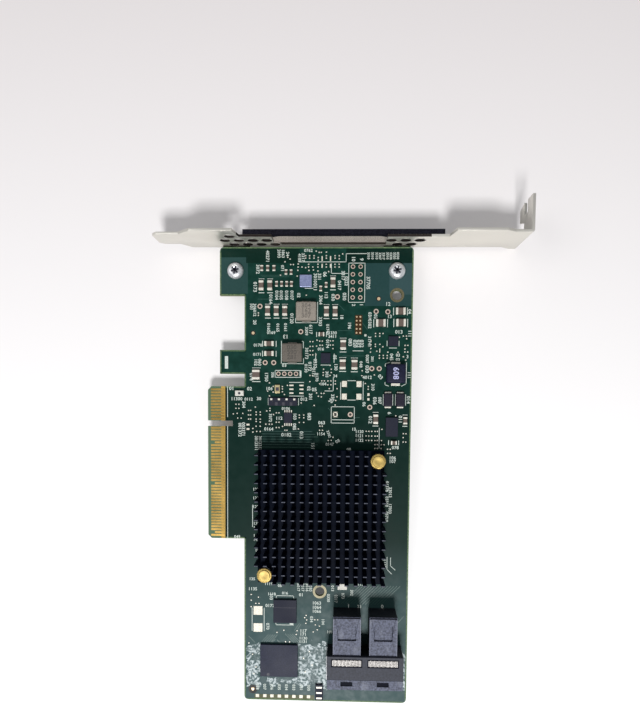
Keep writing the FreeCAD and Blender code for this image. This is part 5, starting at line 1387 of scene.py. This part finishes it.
class CARD_OT_stage(Operator):
    """Build the pale floor, the soft lamps and the camera"""
    bl_idname = "card.stage"
    bl_label = "Stage"

    def execute(self, context):
        settings = context.scene.card_stage
        bm = bmesh.new()
        bmesh.ops.create_grid(bm, x_segments=1, y_segments=1, size=FLOOR_HALF,
                              matrix=Matrix.Translation((0.0, 0.0, CAD_BOX[0].z - FLOOR_GAP)))
        mesh = bpy.data.meshes.new("floor")
        bm.to_mesh(mesh)
        bm.free()
        floor = bpy.data.objects.new("floor", mesh)
        context.scene.collection.objects.link(floor)
        mesh.materials.append(self.floor_look(settings))
        self.lamps(context, settings)
        self.camera(context, settings)
        context.scene.view_settings.view_transform = "Standard"
        return {"FINISHED"}

    def floor_look(self, settings):
        """Pale paper, painted greyer beyond the bracket as shade, with a painted glow that camera and glossy rays
        see.
        """
        look, tree, shader = new_look("pale_paper")
        run = spread(tree, axes_of(tree, object_place(tree))["Y"], *FLOOR_RUN)
        near, far = tuple(settings.floor_near), tuple(settings.floor_far)
        middle = tuple((2 * a + b) / 3 for a, b in zip(near, far))
        tone = ramp(tree, run, [(0.0, near), (0.35, middle), (1.0, far)])
        tree.links.new(tone, shader.inputs["Base Color"])
        shader.inputs["Roughness"].default_value = 0.9
        shader.inputs["Specular IOR Level"].default_value = 0.1
        glow = tree.nodes.new("ShaderNodeEmission")
        tree.links.new(tone, glow.inputs["Color"])
        rays = tree.nodes.new("ShaderNodeLightPath")
        seen = sum_of(tree, "MAXIMUM", rays.outputs["Is Camera Ray"], rays.outputs["Is Glossy Ray"])
        share = sum_of(tree, "MULTIPLY", seen, GLOW_SHARE)
        mix = tree.nodes.new("ShaderNodeMixShader")
        tree.links.new(share, mix.inputs["Fac"])
        tree.links.new(shader.outputs["BSDF"], mix.inputs[1])
        tree.links.new(glow.outputs["Emission"], mix.inputs[2])
        tree.links.new(mix.outputs["Shader"], tree.nodes["Material Output"].inputs["Surface"])
        return look

    def lamps(self, context, settings):
        """One wide softbox above and a weaker one at the side, in a pale surround."""
        for name, where, size, share in LAMPS:
            data = bpy.data.lights.new(name, "AREA")
            data.shape = "SQUARE"
            data.size = size
            data.energy = settings.lamp_power * share
            lamp = bpy.data.objects.new(name, data)
            context.scene.collection.objects.link(lamp)
            lamp.location = where
            aim = Vector(LAMP_AIM) - lamp.location
            lamp.rotation_euler = aim.to_track_quat("-Z", "Y").to_euler()
        world = bpy.data.worlds.new("surround")
        world.use_nodes = True
        back = world.node_tree.nodes["Background"]
        back.inputs["Color"].default_value = SURROUND
        back.inputs["Strength"].default_value = settings.world_level
        context.scene.world = world

    def camera(self, context, settings):
        """The viewer's camera, straight above the card."""
        data = bpy.data.cameras.new("viewer")
        data.sensor_fit = "VERTICAL"
        data.sensor_height = SENSOR
        data.lens = settings.lens
        data.shift_y = CAMERA_SHIFT
        data.clip_start = 0.01
        camera = bpy.data.objects.new("viewer", data)
        context.scene.collection.objects.link(camera)
        about_x, about_y, about_z = (Matrix.Rotation(turn, 3, axis) for turn, axis in zip(CAMERA_TURNS, "XYZ"))
        turn = (about_z @ about_y @ about_x).transposed()
        camera.matrix_world = Matrix.Translation(CAMERA_PLACE) @ turn.to_4x4()
        context.scene.camera = camera


class CARD_PT_sidebar(Panel):
    """The card's pieces, sizes and colours"""
    bl_idname = "CARD_PT_sidebar"
    bl_label = "Controller Card"
    bl_space_type = "VIEW_3D"
    bl_region_type = "UI"
    bl_category = "Card"

    def draw(self, context):
        layout = self.layout
        for operator in OPERATORS:
            layout.operator(operator.bl_idname)
        for pointer, group in GROUPS:
            box = layout.box()
            box.label(text=group.__doc__)
            for field in group.__annotations__:
                box.prop(getattr(context.scene, pointer), field)


GROUPS = (("card_board", BoardSettings), ("card_metal", MetalSettings), ("card_sink", SinkSettings),
          ("card_port", PortSettings), ("card_part", PartSettings), ("card_stage", StageSettings))
OPERATORS = (CARD_OT_stage, CARD_OT_board, CARD_OT_contacts, CARD_OT_bracket, CARD_OT_heatsink, CARD_OT_push_pins,
             CARD_OT_port, CARD_OT_capacitors, CARD_OT_coils, CARD_OT_packages)


def register():
    """Make the classes and settings known."""
    for pointer, group in GROUPS:
        bpy.utils.register_class(group)
        setattr(bpy.types.Scene, pointer, PointerProperty(type=group))
    for operator in OPERATORS:
        bpy.utils.register_class(operator)
    bpy.utils.register_class(CARD_PT_sidebar)


def unregister():
    """Take the classes and settings away."""
    bpy.utils.unregister_class(CARD_PT_sidebar)
    for operator in reversed(OPERATORS):
        bpy.utils.unregister_class(operator)
    for pointer, group in reversed(GROUPS):
        delattr(bpy.types.Scene, pointer)
        bpy.utils.unregister_class(group)


def main():
    """Build every piece."""
    register()
    bpy.ops.card.stage()
    bpy.ops.card.board()
    bpy.ops.card.contacts()
    bpy.ops.card.bracket()
    bpy.ops.card.heatsink()
    bpy.ops.card.push_pins()
    bpy.ops.card.port()
    bpy.ops.card.capacitors()
    bpy.ops.card.coils()
    bpy.ops.card.packages()


if __name__ == "__main__":
    main()
